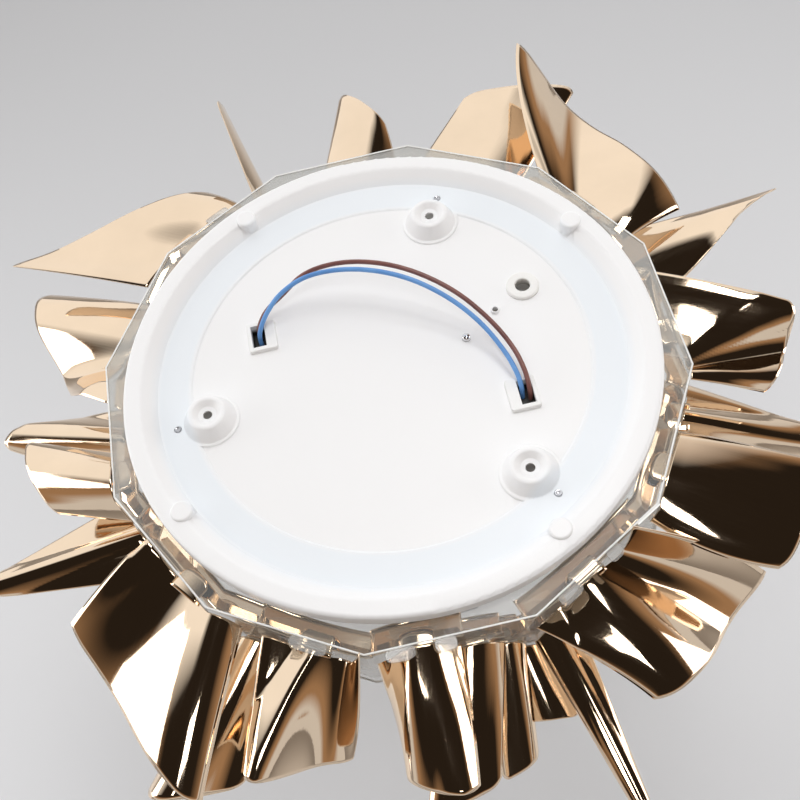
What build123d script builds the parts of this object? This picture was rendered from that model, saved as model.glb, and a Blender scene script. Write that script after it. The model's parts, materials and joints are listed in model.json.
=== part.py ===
from build123d import *
import math
import os

os.makedirs("parts", exist_ok=True)

# Ceiling light seen in its own frame: +Z points to the ceiling, z = 0 is the plane of the ceiling,
# the origin is the centre of the three mounting holes. Sizes are in millimetres.

# Ceiling plate
SHEET = 1.0
RIM_R = 150.0
RIM_WIDTH = 10.0
SLOPE_RUN = 8.0
RING_WIDTH = 19.0
SHOULDER_R = RIM_R - RIM_WIDTH
FOOT_R = SHOULDER_R - SLOPE_RUN
STEP_R = FOOT_R - RING_WIDTH
FLANGE_TOP = -1.6
RING_TOP = -8.5
DISC_TOP = -9.3
LIP_BOTTOM = -9.2
STEP_RUN = 0.8
SHOULDER_RADIUS = 4.0
RIM_RADIUS = 1.8
CREASE_RADIUS = 0.9

# Mounting bosses, with a countersunk hole in the top of each
BOSS_COUNT = 3
BOSS_START = 65
BOSS_INSET = 9.5
BOSS_R = STEP_R - BOSS_INSET
BOSS_FOOT_R = 16.8
BOSS_WALL_R = 14.6
BOSS_CREST_R = 8.6
BOSS_DIMPLE_R = 5.4
BOSS_DIMPLE_Z = -3.2
BOSS_HOLE_R = 2.6
BOSS_SOFT = 1.6
BOSS_BENDS = [1.2, 1.4, 1.4, 1.6]

# Stamped pads that bear on the ceiling
PAD_COUNT = 4
PAD_START = 28
PAD_INSET = 1.5
PAD_ORBIT = SHOULDER_R - PAD_INSET
PAD_R = 6.0
PAD_SOFT = 1.3

# Fittings of the disc
GROMMET_INSET = 28.0
GROMMET_X = STEP_R - GROMMET_INSET
COLLAR_SHIFT = 19.0
COLLAR_POS = (GROMMET_X - COLLAR_SHIFT, 20)
COLLAR_R = 2.5
COLLAR_BORE_R = 1.7
COLLAR_RISE = 1.6
GROMMET_POS = (GROMMET_X, 32)
GROMMET_R = 9.5
GROMMET_BORE_R = 4.3
GROMMET_NECK_R = 7.2
GROMMET_RISE = 2.3
GROMMET_DROP = 2.0
GROMMET_SOFT = 1.0
STUD_SHIFT = 39.0
STUD_POS = (GROMMET_X - STUD_SHIFT, 6)
STUD_HEAD_R = 2.5
STUD_HEAD_H = 3.2
STUD_SHANK_R = 1.5
STUD_LENGTH = 7.0
NUT_AF = 5.5
NUT_H = 2.4

# Cable frames, one on each side, turned half round from each other
FRAME_SHIFT = 17.8
FRAME_POS = (GROMMET_X - FRAME_SHIFT, -38)
FRAME_SIZE = (16.5, 20)
FRAME_RISE = 2.8
FRAME_HOLE = (8, 15)
FRAME_HOLE_SHIFT = 2.0
POCKET_X = FRAME_POS[0] + FRAME_HOLE_SHIFT
FRAME_WALL = 1.2
FRAME_FLOOR = 1.5
FRAME_DEPTH = 21.5
FRAME_CORNER = 1.5
FRAME_SOFT = 0.6
TERMINAL_TOP = -15.0

# Wires between the frames
WIRE_R = 1.375
BEND_SHARE = 0.45
BLUE_LEFT_X = 0.2 - POCKET_X
BLUE_RIGHT_X = POCKET_X - 1.7
BROWN_RIGHT_X = POCKET_X + 2.3
BLUE_ROUTE = [
    (BLUE_LEFT_X, 37, TERMINAL_TOP), (BLUE_LEFT_X, 37, -9), (BLUE_LEFT_X + 1.5, 39.5, -3.5),
    (BLUE_LEFT_X + 7.5, 46, 2.5), (-51, 53, 9), (-33, 56, 16), (-7, 50, 20), (19, 37, 20),
    (40, 21, 14), (55, 4, 6), (BLUE_RIGHT_X - 3.5, -15, 0), (BLUE_RIGHT_X - 0.5, -28, -2.5),
    (BLUE_RIGHT_X, -34, -6), (BLUE_RIGHT_X, -36, -10.5), (BLUE_RIGHT_X, -36, TERMINAL_TOP),
]
BROWN_ROUTE = [
    (BLUE_LEFT_X, 42, TERMINAL_TOP), (BLUE_LEFT_X, 42, -9.5), (BLUE_LEFT_X + 1.5, 44.5, -5),
    (BLUE_LEFT_X + 7.5, 51.5, -1.5), (-50, 56, 3), (-35, 61, 13), (-9, 57, 19), (19, 44, 20),
    (44, 26, 13), (60, 6, 5), (BROWN_RIGHT_X - 2.5, -13, 0), (BROWN_RIGHT_X, -28, -2.5),
    (BROWN_RIGHT_X, -35, -6), (BROWN_RIGHT_X, -38, -10.5), (BROWN_RIGHT_X, -38, TERMINAL_TOP),
]

# Clear band that carries the petals: a strip bent to twelve sides round a flat ring, and the
# ring is clamped under the plate
BAND_SIDES = 12
BAND_MARGIN = 16.0
BAND_R = RIM_R + BAND_MARGIN
BAND_WALL = 1.0
BAND_DEPTH = 45.0
BAND_LAND = 2.5
BAND_BORE_R = STEP_R + BAND_LAND
LAP_WIDTH = 16.0
LAP_AZIMUTH = -60

# Long screws, spacers and tray
CARRIER_INSET = 9.0
CARRIER_R = STEP_R + CARRIER_INSET
CARRIER_SCREW_R = 2.0
CARRIER_HEAD_R = 3.8
CARRIER_HEAD_H = 2.4
CARRIER_TIP = 0.8
SPACER_R = 3.5
SPACER_H = 26.0
TRAY_INSET = 12.0
TRAY_R = RIM_R - TRAY_INSET
TRAY_T = 1.2
TRAY_HOLE_R = 8.0
HOLE_PLAY = 0.15
FIT = 0.3

# Light source under the tray
BOARD_INSET = 22.0
BOARD_R = TRAY_R - BOARD_INSET
BOARD_BORE_R = 22.0
BOARD_T = 1.6
LED_SIZE = (2.8, 3.5)
LED_H = 0.7
LED_INNER_R = 45.0
LED_INNER_COUNT = 12
LED_OUTER_R = 95.0
LED_OUTER_COUNT = 24
SMALL_SCREW_R = 1.5
SMALL_HEAD_R = 2.8
SMALL_HEAD_H = 2.0
HEAD_SOFT = 0.5
BOARD_SCREW_R = 70.0
BOARD_SCREW_COUNT = 4
BOARD_SCREW_START = 20
DRIVER_SIZE = (60, 40)
DRIVER_H = 22.0
DRIVER_EAR = (84, 16)
DRIVER_EAR_T = 2.0
DRIVER_SCREW_X = 36.0
DRIVER_SOFT = 2.0

# Opal bowl and its clips
BOWL_INSET = 0.5
BOWL_LEDGE = 3.5
BOWL_FLANGE_R = TRAY_R - BOWL_INSET
BOWL_RIM_R = BOWL_FLANGE_R - BOWL_LEDGE
BOWL_DEPTH = 44.0
BOWL_WALL = 2.0
BOWL_FLANGE_T = 2.0
CLIP_COUNT = 3
CLIP_START = 35
CLIP_T = 1.0
CLIP_REACH = 4.0
CLIP_WIDTH = 10.0

# Petals: film strips that curve across their width
FILM = 0.6
TONGUE_FILM = 0.4
TONGUE_HALF = 9.0
TONGUE_SHARE = 0.6
TONGUE_INSET = 14.0
TONGUE_TIP_R = BAND_R - TONGUE_INSET
ROOT_GAP = 1.8
REACH_GAP = 4.0
REACH_BASE_R = BAND_R + REACH_GAP
DRAWN_BASE_R = 170.0
PETAL_SCALE = REACH_BASE_R / DRAWN_BASE_R
SLOT_PLAY = 0.4
FACET_KEEP = 10.0
SWAY_GAIN = 2.6
CURVE_STEPS = 8

# Heights and widths that follow from the sizes above
HALF_SHEET = SHEET / 2
DISC_MID = DISC_TOP - HALF_SHEET
RING_MID = RING_TOP - HALF_SHEET
FLANGE_MID = FLANGE_TOP - HALF_SHEET
RIM_MID = RIM_R - HALF_SHEET
DISC_BOTTOM = DISC_TOP - SHEET
RING_BOTTOM = RING_TOP - SHEET
BAND_TOP = RING_BOTTOM
FLANGE_BOTTOM = BAND_TOP - BAND_WALL
TRAY_TOP = FLANGE_BOTTOM - SPACER_H
TRAY_BOTTOM = TRAY_TOP - TRAY_T
BOARD_BOTTOM = TRAY_BOTTOM - BOARD_T
FRAME_TOP = DISC_TOP + FRAME_RISE
NECK_SIZE = (FRAME_HOLE[0] + 2 * FRAME_WALL, FRAME_HOLE[1] + 2 * FRAME_WALL)
HALF_TURN = Location((0, 0, 0), (0, 0, 180))
HALF_FACET = 180 / BAND_SIDES
BAND_FLAT_R = BAND_R * math.cos(math.radians(HALF_FACET))
BAND_SIDE = 2 * BAND_R * math.sin(math.radians(HALF_FACET))

# Petal table, hand set for a reach base of DRAWN_BASE_R, one row for each petal, going round
# the light: root azimuth and height, half width, tilt, root bow,
# tip corner A (reach beyond the base radius, azimuth, height), tip corner B,
# bow in the middle and at the tip, sway in the middle and at the tip, lift of the middle
PETALS = [
    (88, -44, 29, 0, 3, (81, 88, -40), (48, 81, -38), 5, 6, 0, 0, 0),
    (64, -44, 37, 0, 4, (69, 67, -34), (101, 51, -46), 6, 6, 0, 0, 0),
    (33, -20, 38, 4, 6, (94, 60, -6), (39, 21, -26), -4, -12, 5, 10, 2),
    (18.5, -44, 30, 0, 4, (89, 15, -12), (62, 14, -34), 5, 4, 0, 0, 0),
    (-4, -18, 36, 4, -5, (59, -4, -14), (38, -16, -34), -8, -10, 7, 10, 0),
    (-20, -46, 26, 0, 4, (67, -17, -62), (67, -21, -70), 5, 5, 0, 0, 0),
    (-37, -20, 30, -4, 5, (60, -27, -26), (63, -43, -28), 10, 14, 3, 4, 0),
    (-62, -18, 39, 0, -7, (58, -42, -50), (57, -66, -36), -10, -13, 8, 12, 0),
    (-87, -34, 18, 0, 3, (54, -88, -52), (60, -97.5, -58), 4, 6, 0, 0, 0),
    (-71.5, -42, 12.5, 10, 2, (92, -73, -60), (88, -74.7, -60), 2, 2, 0, 0, 0),
    (-81, -42, 11, 0, 2, (45, -82, -62), (51, -87.5, -62), 4, 5, 0, 0, 0),
    (-96, -18, 22, 0, 3, (61, -91, -26), (45, -100, -40), 7, 9, 0, 0, 0),
    (-115, -20, 29, 0, -6, (39, -107, -50), (60, -120, -36), -10, -13, 8, 10, 0),
    (-127, -46, 20, 0, 3, (59, -122, -66), (85, -132, -60), 4, 5, 2, 4, 0),
    (-141, -20, 38, 0, 6, (80, -123.5, -34), (51, -153, -30), 7, -3, -6, -7, 0),
    (-162, -46, 28, 0, 4, (86, -166.5, -60), (88, -169.5, -60), 5, 2, 0, 0, 0),
    (-170, -18, 24, 0, 4, (34, -171, -30), (47, -185, -30), 6, 8, 0, 0, 0),
    (175, -46, 25, 0, 4, (76, 171, -60), (55, 167, -60), 5, 6, 0, 0, 0),
    (158, -20, 38, 0, -6, (31, 165, -40), (79, 147, -40), -4, 2, 5, 4, 0),
    (130, -18, 46, 6, 6, (87, 148, -8), (10, 113, -22), 2, 2, 6, 13, 3),
    (109, -30, 16, 70, 2, (79, 107, -8), (98, 106, -40), 2, 2, 0, 0, 0),
    (-77.5, -53, 17, 0, 1, (35, -74.5, -64), (27, -81.5, -65), 2, 3, 0, 0, 0),
]


def polar(radius, azimuth, height=0.0):
    """Point at a radius, an azimuth in degrees and a height."""
    angle = math.radians(azimuth)
    return Vector(radius * math.cos(angle), radius * math.sin(angle), height)


def radial_plane(azimuth):
    """Plane through the Z axis whose x runs outward and whose y runs up."""
    return Plane(origin=(0, 0, 0), x_dir=polar(1, azimuth), z_dir=polar(1, azimuth - 90))


def upright_plane(position):
    """Plane through an upright axis at a position, x along +X and y up."""
    return Plane(origin=(position[0], position[1], 0), x_dir=(1, 0, 0), z_dir=(0, -1, 0))


def bend_radii(route):
    """Radius of each bend of a wire: the largest that its two runs allow."""
    radii = []
    for before, point, after in zip(route, route[1:], route[2:]):
        arriving = Vector(point) - Vector(before)
        leaving = Vector(after) - Vector(point)
        turn = math.radians(arriving.get_angle(leaving))
        shorter = min(arriving.length, leaving.length)
        radii.append(BEND_SHARE * shorter / math.tan(turn / 2))
    return radii


def make_wire(route):
    """Round wire along straight runs joined by tangent bends."""
    with BuildPart() as wire:
        with BuildLine() as path:
            FilletPolyline(*route, radius=bend_radii(route))
        with BuildSketch(Plane(origin=path.wire() @ 0, z_dir=path.wire() % 0)):
            Circle(WIRE_R)
        sweep()
    return wire, path.wire().length


def petal_stations(row, root_r):
    """Root, middle and tip of a petal: centre, chord, normal, half width, bow and sway."""
    azimuth, height, width, tilt, bow, tip_a, tip_b, bow_mid, bow_tip, sway_mid, sway_tip, lift = row
    half = width * root_r / DRAWN_BASE_R
    root = polar(root_r, azimuth, height)
    lean = math.radians(tilt)
    chord = polar(1, azimuth + 90) * math.cos(lean) + Vector(0, 0, 1) * math.sin(lean)
    root_a = root + chord * half
    root_b = root - chord * half
    end_a, end_b = [
        polar(REACH_BASE_R + reach * PETAL_SCALE, side, level) for reach, side, level in (tip_a, tip_b)
    ]
    axis = (end_a + end_b) * 0.5 - root
    found = []
    for side_a, side_b, rise, sway, up in (
        (root_a, root_b, bow, 0, 0),
        ((root_a + end_a) * 0.5, (root_b + end_b) * 0.5, bow_mid, sway_mid, lift),
        (end_a, end_b, bow_tip, sway_tip, 0),
    ):
        across = side_b - side_a
        normal = axis.cross(across).normalized()
        if normal.Z < 0:
            normal = normal * -1
        centre = (side_a + side_b) * 0.5 + normal * up
        found.append((centre, across.normalized(), normal, across.length / 2, rise, sway))
    return found


def root_radius(row):
    """Radius at which the bent root of a petal just clears the flats of the strip."""
    centre, chord, normal, half, rise, sway = petal_stations(row, REACH_BASE_R)[0]
    reaches = []
    for step in range(-CURVE_STEPS, CURVE_STEPS + 1):
        share = step / CURVE_STEPS
        height = rise * (1 - share**2) + SWAY_GAIN * sway * share * (1 - share**2)
        offset = chord * (half * share) + normal * height
        free = []
        for side in range(BAND_SIDES):
            face = polar(1, side * 360 / BAND_SIDES)
            facing = face.dot(polar(1, row[0]))
            if facing > 0:
                free.append((BAND_FLAT_R + ROOT_GAP - offset.dot(face)) / facing)
        reaches.append(min(free))
    return max(reaches)


def strip_outline(half, rise, sway, thickness, start, end):
    """Closed outline of a bent strip between two shares of its half width."""
    upper = []
    lower = []
    for step in range(CURVE_STEPS + 1):
        share = start + (end - start) * step / CURVE_STEPS
        height = rise * (1 - share**2) + SWAY_GAIN * sway * share * (1 - share**2)
        slope = (-2 * rise * share + SWAY_GAIN * sway * (1 - 3 * share**2)) / half
        across = thickness / 2 / math.hypot(1, slope)
        upper.append((half * share - slope * across, height + across))
        lower.append((half * share + slope * across, height - across))
    return upper, lower


def draw_strip(plane, outline):
    """Sketch the outline of a bent strip on a plane."""
    upper, lower = outline
    with BuildSketch(plane) as strip:
        with BuildLine():
            Spline(*upper)
            Line(upper[-1], lower[-1])
            Spline(*reversed(lower))
            Line(lower[0], upper[0])
        make_face()
    return strip


def station_plane(station):
    """Plane of a petal's cross-section, x along its chord and y along its normal."""
    centre, chord, normal = station[:3]
    return Plane(origin=centre, x_dir=chord, z_dir=chord.cross(normal))


def tongue_range(row):
    """Shares of the root's half width between which the tongue lies, kept off the corners."""
    azimuth, width = row[0], row[2]
    half = width * root_radius(row) / DRAWN_BASE_R
    facet = 360 / BAND_SIDES
    middle = facet * round(azimuth / facet)
    wanted = min(max(azimuth, middle - FACET_KEEP), middle + FACET_KEEP)
    shift = -math.radians(wanted - azimuth) * DRAWN_BASE_R / width
    reach = min(TONGUE_HALF, TONGUE_SHARE * half) / half
    return shift - reach, shift + reach


def make_petal(row):
    """Petal lofted through three bent sections, with a tongue at its root."""
    root_r = root_radius(row)
    stations = petal_stations(row, root_r)
    inward = polar(-1, row[0])
    with BuildPart() as petal:
        sections = []
        for station in stations:
            half, rise, sway = station[3:]
            outline = strip_outline(half, rise, sway, FILM, -1, 1)
            sections.append(draw_strip(station_plane(station), outline).sketch)
        loft(sections=sections)
        half, rise, sway = stations[0][3:]
        outline = strip_outline(half, rise, sway, TONGUE_FILM, *tongue_range(row))
        tongue = draw_strip(station_plane(stations[0]), outline).sketch
        extrude(to_extrude=tongue, amount=root_r - TONGUE_TIP_R, dir=inward)
    return petal


def bare_screw(position, seat, head, shank, turned=1):
    """Screw with its head on a seat height; turned is 1 for a head above and -1 for one below."""
    head_r, head_h = head
    shank_r, length = shank
    with BuildPart() as screw:
        with BuildSketch(Plane.XY.offset(seat)):
            with Locations((position.X, position.Y)):
                Circle(head_r)
        extrude(amount=turned * head_h)
        crown = screw.faces().sort_by(Axis.Z)[-1 if turned > 0 else 0]
        fillet(crown.edges(), radius=head_h * HEAD_SOFT)
        with BuildSketch(Plane.XY.offset(seat)):
            with Locations((position.X, position.Y)):
                Circle(shank_r)
        extrude(amount=-turned * length)
    return screw


# Ceiling plate: a pressed pan turned about the Z axis
with BuildPart() as boss:
    with BuildSketch(Plane.XZ):
        with BuildLine():
            FilletPolyline(
                (BOSS_HOLE_R - FIT, BOSS_DIMPLE_Z - HALF_SHEET),
                (BOSS_DIMPLE_R, BOSS_DIMPLE_Z),
                (BOSS_CREST_R, -HALF_SHEET),
                (BOSS_CREST_R + BOSS_SOFT, -HALF_SHEET),
                (BOSS_WALL_R, RING_MID),
                (BOSS_FOOT_R, RING_MID),
                radius=BOSS_BENDS,
            )
        trace(line_width=SHEET)
    revolve(axis=Axis.Z)
    Hole(BOSS_HOLE_R)

with BuildPart() as pads:
    with BuildSketch():
        with PolarLocations(PAD_ORBIT, PAD_COUNT, start_angle=PAD_START):
            Circle(PAD_R)
    extrude(amount=RING_TOP)
    fillet(pads.edges().group_by(Axis.Z)[-1], radius=PAD_SOFT)
    with BuildSketch(Plane.XZ):
        with BuildLine():
            Polyline(
                (STEP_R, RING_MID),
                (FOOT_R, RING_MID),
                (SHOULDER_R, FLANGE_MID),
                (RIM_MID, FLANGE_MID),
                (RIM_MID, SHEET),
                (STEP_R, SHEET),
                close=True,
            )
        make_face()
    revolve(axis=Axis.Z, mode=Mode.INTERSECT)

with BuildPart() as base_plate:
    with BuildSketch(Plane.XZ):
        with BuildLine():
            FilletPolyline(
                (0, DISC_MID),
                (STEP_R - STEP_RUN, DISC_MID),
                (STEP_R, RING_MID),
                (FOOT_R, RING_MID),
                (SHOULDER_R, FLANGE_MID),
                (RIM_MID, FLANGE_MID),
                (RIM_MID, LIP_BOTTOM),
                radius=[CREASE_RADIUS, CREASE_RADIUS, CREASE_RADIUS, SHOULDER_RADIUS, RIM_RADIUS],
            )
        trace(line_width=SHEET)
    revolve(axis=Axis.Z)
    with BuildSketch():
        with PolarLocations(BOSS_R, BOSS_COUNT, start_angle=BOSS_START):
            Circle(BOSS_WALL_R)
    extrude(amount=DISC_BOTTOM - SHEET, mode=Mode.SUBTRACT)
    with PolarLocations(BOSS_R, BOSS_COUNT, start_angle=BOSS_START):
        add(boss.part)
    add(pads.part)
    with BuildSketch(Plane.XY.offset(DISC_TOP)):
        with Locations(COLLAR_POS):
            Circle(COLLAR_R)
    extrude(amount=COLLAR_RISE)
    with BuildSketch():
        with PolarLocations(CARRIER_R, BOSS_COUNT, start_angle=BOSS_START):
            Circle(CARRIER_SCREW_R + HOLE_PLAY)
        with Locations(COLLAR_POS):
            Circle(COLLAR_BORE_R)
        with Locations(GROMMET_POS):
            Circle(GROMMET_NECK_R + FIT)
        with Locations(STUD_POS):
            Circle(STUD_SHANK_R + HOLE_PLAY)
        with PolarLocations(0, 2):
            with Locations((POCKET_X, FRAME_POS[1])):
                Rectangle(NECK_SIZE[0] + 2 * FIT, NECK_SIZE[1] + 2 * FIT)
    extrude(amount=DISC_BOTTOM - SHEET, mode=Mode.SUBTRACT)

# Grommet of the supply cable, gripping the edge of its hole
with BuildPart() as cable_grommet:
    with BuildSketch(upright_plane(GROMMET_POS)):
        with BuildLine():
            Polyline(
                (GROMMET_BORE_R, DISC_TOP + GROMMET_RISE),
                (GROMMET_R, DISC_TOP + GROMMET_RISE),
                (GROMMET_R, DISC_TOP),
                (GROMMET_NECK_R, DISC_TOP),
                (GROMMET_NECK_R, DISC_BOTTOM),
                (GROMMET_R - GROMMET_SOFT, DISC_BOTTOM),
                (GROMMET_R - GROMMET_SOFT, DISC_BOTTOM - GROMMET_DROP),
                (GROMMET_BORE_R, DISC_BOTTOM - GROMMET_DROP),
                close=True,
            )
        make_face()
    revolve(axis=Axis((GROMMET_POS[0], GROMMET_POS[1], 0), (0, 0, 1)))
    fillet(cable_grommet.edges().group_by(Axis.Z)[-1], radius=GROMMET_SOFT)

# Earth stud and its nut
earth_stud = bare_screw(
    Vector(*STUD_POS), DISC_TOP, (STUD_HEAD_R, STUD_HEAD_H), (STUD_SHANK_R, STUD_LENGTH)
)
with BuildPart() as earth_nut:
    with BuildSketch(Plane.XY.offset(DISC_BOTTOM)):
        with Locations(STUD_POS):
            RegularPolygon(radius=NUT_AF / 2, side_count=6, major_radius=False)
            Circle(STUD_SHANK_R + HOLE_PLAY, mode=Mode.SUBTRACT)
    extrude(amount=-NUT_H)

# Cable frame with a deep pocket, and the terminal block that stands in it
with BuildPart() as cable_frame_right:
    with BuildSketch(Plane.XY.offset(DISC_TOP)):
        with Locations(FRAME_POS):
            RectangleRounded(*FRAME_SIZE, FRAME_CORNER)
    extrude(amount=FRAME_RISE)
    fillet(cable_frame_right.edges().group_by(Axis.Z)[-1], radius=FRAME_SOFT)
    with BuildSketch(Plane.XY.offset(DISC_TOP)):
        with Locations((POCKET_X, FRAME_POS[1])):
            Rectangle(*NECK_SIZE)
    extrude(amount=-FRAME_DEPTH - DISC_TOP)
    with BuildSketch(Plane.XY.offset(FRAME_TOP)):
        with Locations((POCKET_X, FRAME_POS[1])):
            Rectangle(*FRAME_HOLE)
    extrude(amount=FRAME_FLOOR - FRAME_DEPTH - FRAME_TOP, mode=Mode.SUBTRACT)

with BuildPart() as terminal_right:
    with BuildSketch(Plane.XY.offset(TERMINAL_TOP)):
        with Locations((POCKET_X, FRAME_POS[1])):
            Rectangle(FRAME_HOLE[0] - 2 * FIT, FRAME_HOLE[1] - 2 * FIT)
    extrude(amount=FRAME_FLOOR - FRAME_DEPTH - TERMINAL_TOP)

with BuildPart() as cable_frame_left:
    with Locations(HALF_TURN):
        add(cable_frame_right.part)

with BuildPart() as terminal_left:
    with Locations(HALF_TURN):
        add(terminal_right.part)

# Wires from one terminal block to the other
wire_blue, blue_length = make_wire(BLUE_ROUTE)
wire_brown, brown_length = make_wire(BROWN_ROUTE)
WIRES = (
    ("blue", wire_blue, blue_length, BLUE_ROUTE),
    ("brown", wire_brown, brown_length, BROWN_ROUTE),
)
for colour, wire, length, route in WIRES:
    share = wire.part.volume / (math.pi * WIRE_R**2 * length)
    print(colour, "wire", round(length, 1), "mm long, volume share", round(share, 4))
    print(colour, "bend radii", [round(radius, 1) for radius in bend_radii(route)])

# Band of the petals: a clear ring clamped under the plate, and round it the twelve-sided strip
# with its lap joint and slots
with BuildPart() as frame_ring:
    with BuildSketch(Plane.XY.offset(BAND_TOP)):
        RegularPolygon(
            radius=BAND_FLAT_R - BAND_WALL,
            side_count=BAND_SIDES,
            major_radius=False,
            rotation=HALF_FACET,
        )
        Circle(BAND_BORE_R, mode=Mode.SUBTRACT)
        with PolarLocations(CARRIER_R, BOSS_COUNT, start_angle=BOSS_START):
            Circle(CARRIER_SCREW_R + HOLE_PLAY, mode=Mode.SUBTRACT)
    extrude(amount=-BAND_WALL)

with BuildPart() as petal_frame:
    with BuildSketch(Plane.XY.offset(BAND_TOP)):
        RegularPolygon(radius=BAND_R, side_count=BAND_SIDES, rotation=HALF_FACET)
        RegularPolygon(
            radius=BAND_FLAT_R - BAND_WALL,
            side_count=BAND_SIDES,
            major_radius=False,
            rotation=HALF_FACET,
            mode=Mode.SUBTRACT,
        )
        with Locations(Location((0, 0, 0), (0, 0, LAP_AZIMUTH))):
            with Locations((BAND_FLAT_R + BAND_WALL / 2, BAND_SIDE / 2 - LAP_WIDTH / 2)):
                Rectangle(BAND_WALL, LAP_WIDTH)
    extrude(amount=-BAND_DEPTH)
    for row in PETALS:
        root_r = root_radius(row)
        root = petal_stations(row, root_r)[0]
        half, rise, sway = root[3:]
        start, end = tongue_range(row)
        upper, lower = strip_outline(half, rise, sway, TONGUE_FILM, start, end)
        top = max(point[1] for point in upper)
        bottom = min(point[1] for point in lower)
        with BuildSketch(station_plane(root)) as slot:
            with Locations((half * (start + end) / 2, (top + bottom) / 2)):
                Rectangle(half * (end - start) + 2 * SLOT_PLAY, top - bottom + 2 * SLOT_PLAY)
        extrude(
            to_extrude=slot.sketch,
            amount=root_r - TONGUE_TIP_R,
            dir=polar(-1, row[0]),
            mode=Mode.SUBTRACT,
        )

# Carrier screws and the spacers round them
carrier_places = [
    polar(CARRIER_R, BOSS_START + index * 360 / BOSS_COUNT) for index in range(BOSS_COUNT)
]
with BuildPart() as carrier_screws:
    for place in carrier_places:
        screw = bare_screw(
            place,
            TRAY_BOTTOM,
            (CARRIER_HEAD_R, CARRIER_HEAD_H),
            (CARRIER_SCREW_R, RING_TOP + CARRIER_TIP - TRAY_BOTTOM),
            turned=-1,
        )
        add(screw.part)

with BuildPart() as spacers:
    with BuildSketch(Plane.XY.offset(FLANGE_BOTTOM)):
        with PolarLocations(CARRIER_R, BOSS_COUNT, start_angle=BOSS_START):
            Circle(SPACER_R)
            Circle(CARRIER_SCREW_R + HOLE_PLAY, mode=Mode.SUBTRACT)
    extrude(amount=-SPACER_H)

# Tray
with BuildPart() as led_tray:
    with BuildSketch(Plane.XY.offset(TRAY_TOP)):
        Circle(TRAY_R)
        Circle(TRAY_HOLE_R, mode=Mode.SUBTRACT)
        with PolarLocations(CARRIER_R, BOSS_COUNT, start_angle=BOSS_START):
            Circle(CARRIER_SCREW_R + HOLE_PLAY, mode=Mode.SUBTRACT)
        with PolarLocations(BOARD_SCREW_R, BOARD_SCREW_COUNT, start_angle=BOARD_SCREW_START):
            Circle(SMALL_SCREW_R + HOLE_PLAY, mode=Mode.SUBTRACT)
        with Locations((DRIVER_SCREW_X, 0), (-DRIVER_SCREW_X, 0)):
            Circle(SMALL_SCREW_R + HOLE_PLAY, mode=Mode.SUBTRACT)
    extrude(amount=-TRAY_T)

# Driver box with two ears, and its screws
with BuildPart() as driver:
    with BuildSketch(Plane.XY.offset(TRAY_TOP)):
        RectangleRounded(*DRIVER_SIZE, DRIVER_SOFT)
    extrude(amount=DRIVER_H)
    fillet(driver.edges().group_by(Axis.Z)[-1], radius=DRIVER_SOFT / 2)
    with BuildSketch(Plane.XY.offset(TRAY_TOP)):
        RectangleRounded(*DRIVER_EAR, DRIVER_SOFT)
    extrude(amount=DRIVER_EAR_T)
    with BuildSketch(Plane.XY.offset(TRAY_TOP)):
        with Locations((DRIVER_SCREW_X, 0), (-DRIVER_SCREW_X, 0)):
            Circle(SMALL_SCREW_R + HOLE_PLAY)
    extrude(amount=DRIVER_EAR_T, mode=Mode.SUBTRACT)

with BuildPart() as driver_screws:
    for side in (-1, 1):
        screw = bare_screw(
            Vector(side * DRIVER_SCREW_X, 0),
            TRAY_TOP + DRIVER_EAR_T,
            (SMALL_HEAD_R, SMALL_HEAD_H),
            (SMALL_SCREW_R, DRIVER_EAR_T + TRAY_T - HOLE_PLAY),
        )
        add(screw.part)

# LED board, its packages and its screws
board_places = [
    polar(BOARD_SCREW_R, BOARD_SCREW_START + index * 360 / BOARD_SCREW_COUNT)
    for index in range(BOARD_SCREW_COUNT)
]
with BuildPart() as led_board:
    with BuildSketch(Plane.XY.offset(TRAY_BOTTOM)):
        Circle(BOARD_R)
        Circle(BOARD_BORE_R, mode=Mode.SUBTRACT)
        with Locations(*[(place.X, place.Y) for place in board_places]):
            Circle(SMALL_SCREW_R + HOLE_PLAY, mode=Mode.SUBTRACT)
    extrude(amount=-BOARD_T)

with BuildPart() as leds:
    with BuildSketch(Plane.XY.offset(BOARD_BOTTOM)):
        for ring_r, ring_count in ((LED_INNER_R, LED_INNER_COUNT), (LED_OUTER_R, LED_OUTER_COUNT)):
            with PolarLocations(ring_r, ring_count):
                Rectangle(*LED_SIZE)
    extrude(amount=-LED_H)

with BuildPart() as board_screws:
    for place in board_places:
        screw = bare_screw(
            place,
            BOARD_BOTTOM,
            (SMALL_HEAD_R, SMALL_HEAD_H),
            (SMALL_SCREW_R, BOARD_T + TRAY_T + SHEET),
            turned=-1,
        )
        add(screw.part)

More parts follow.
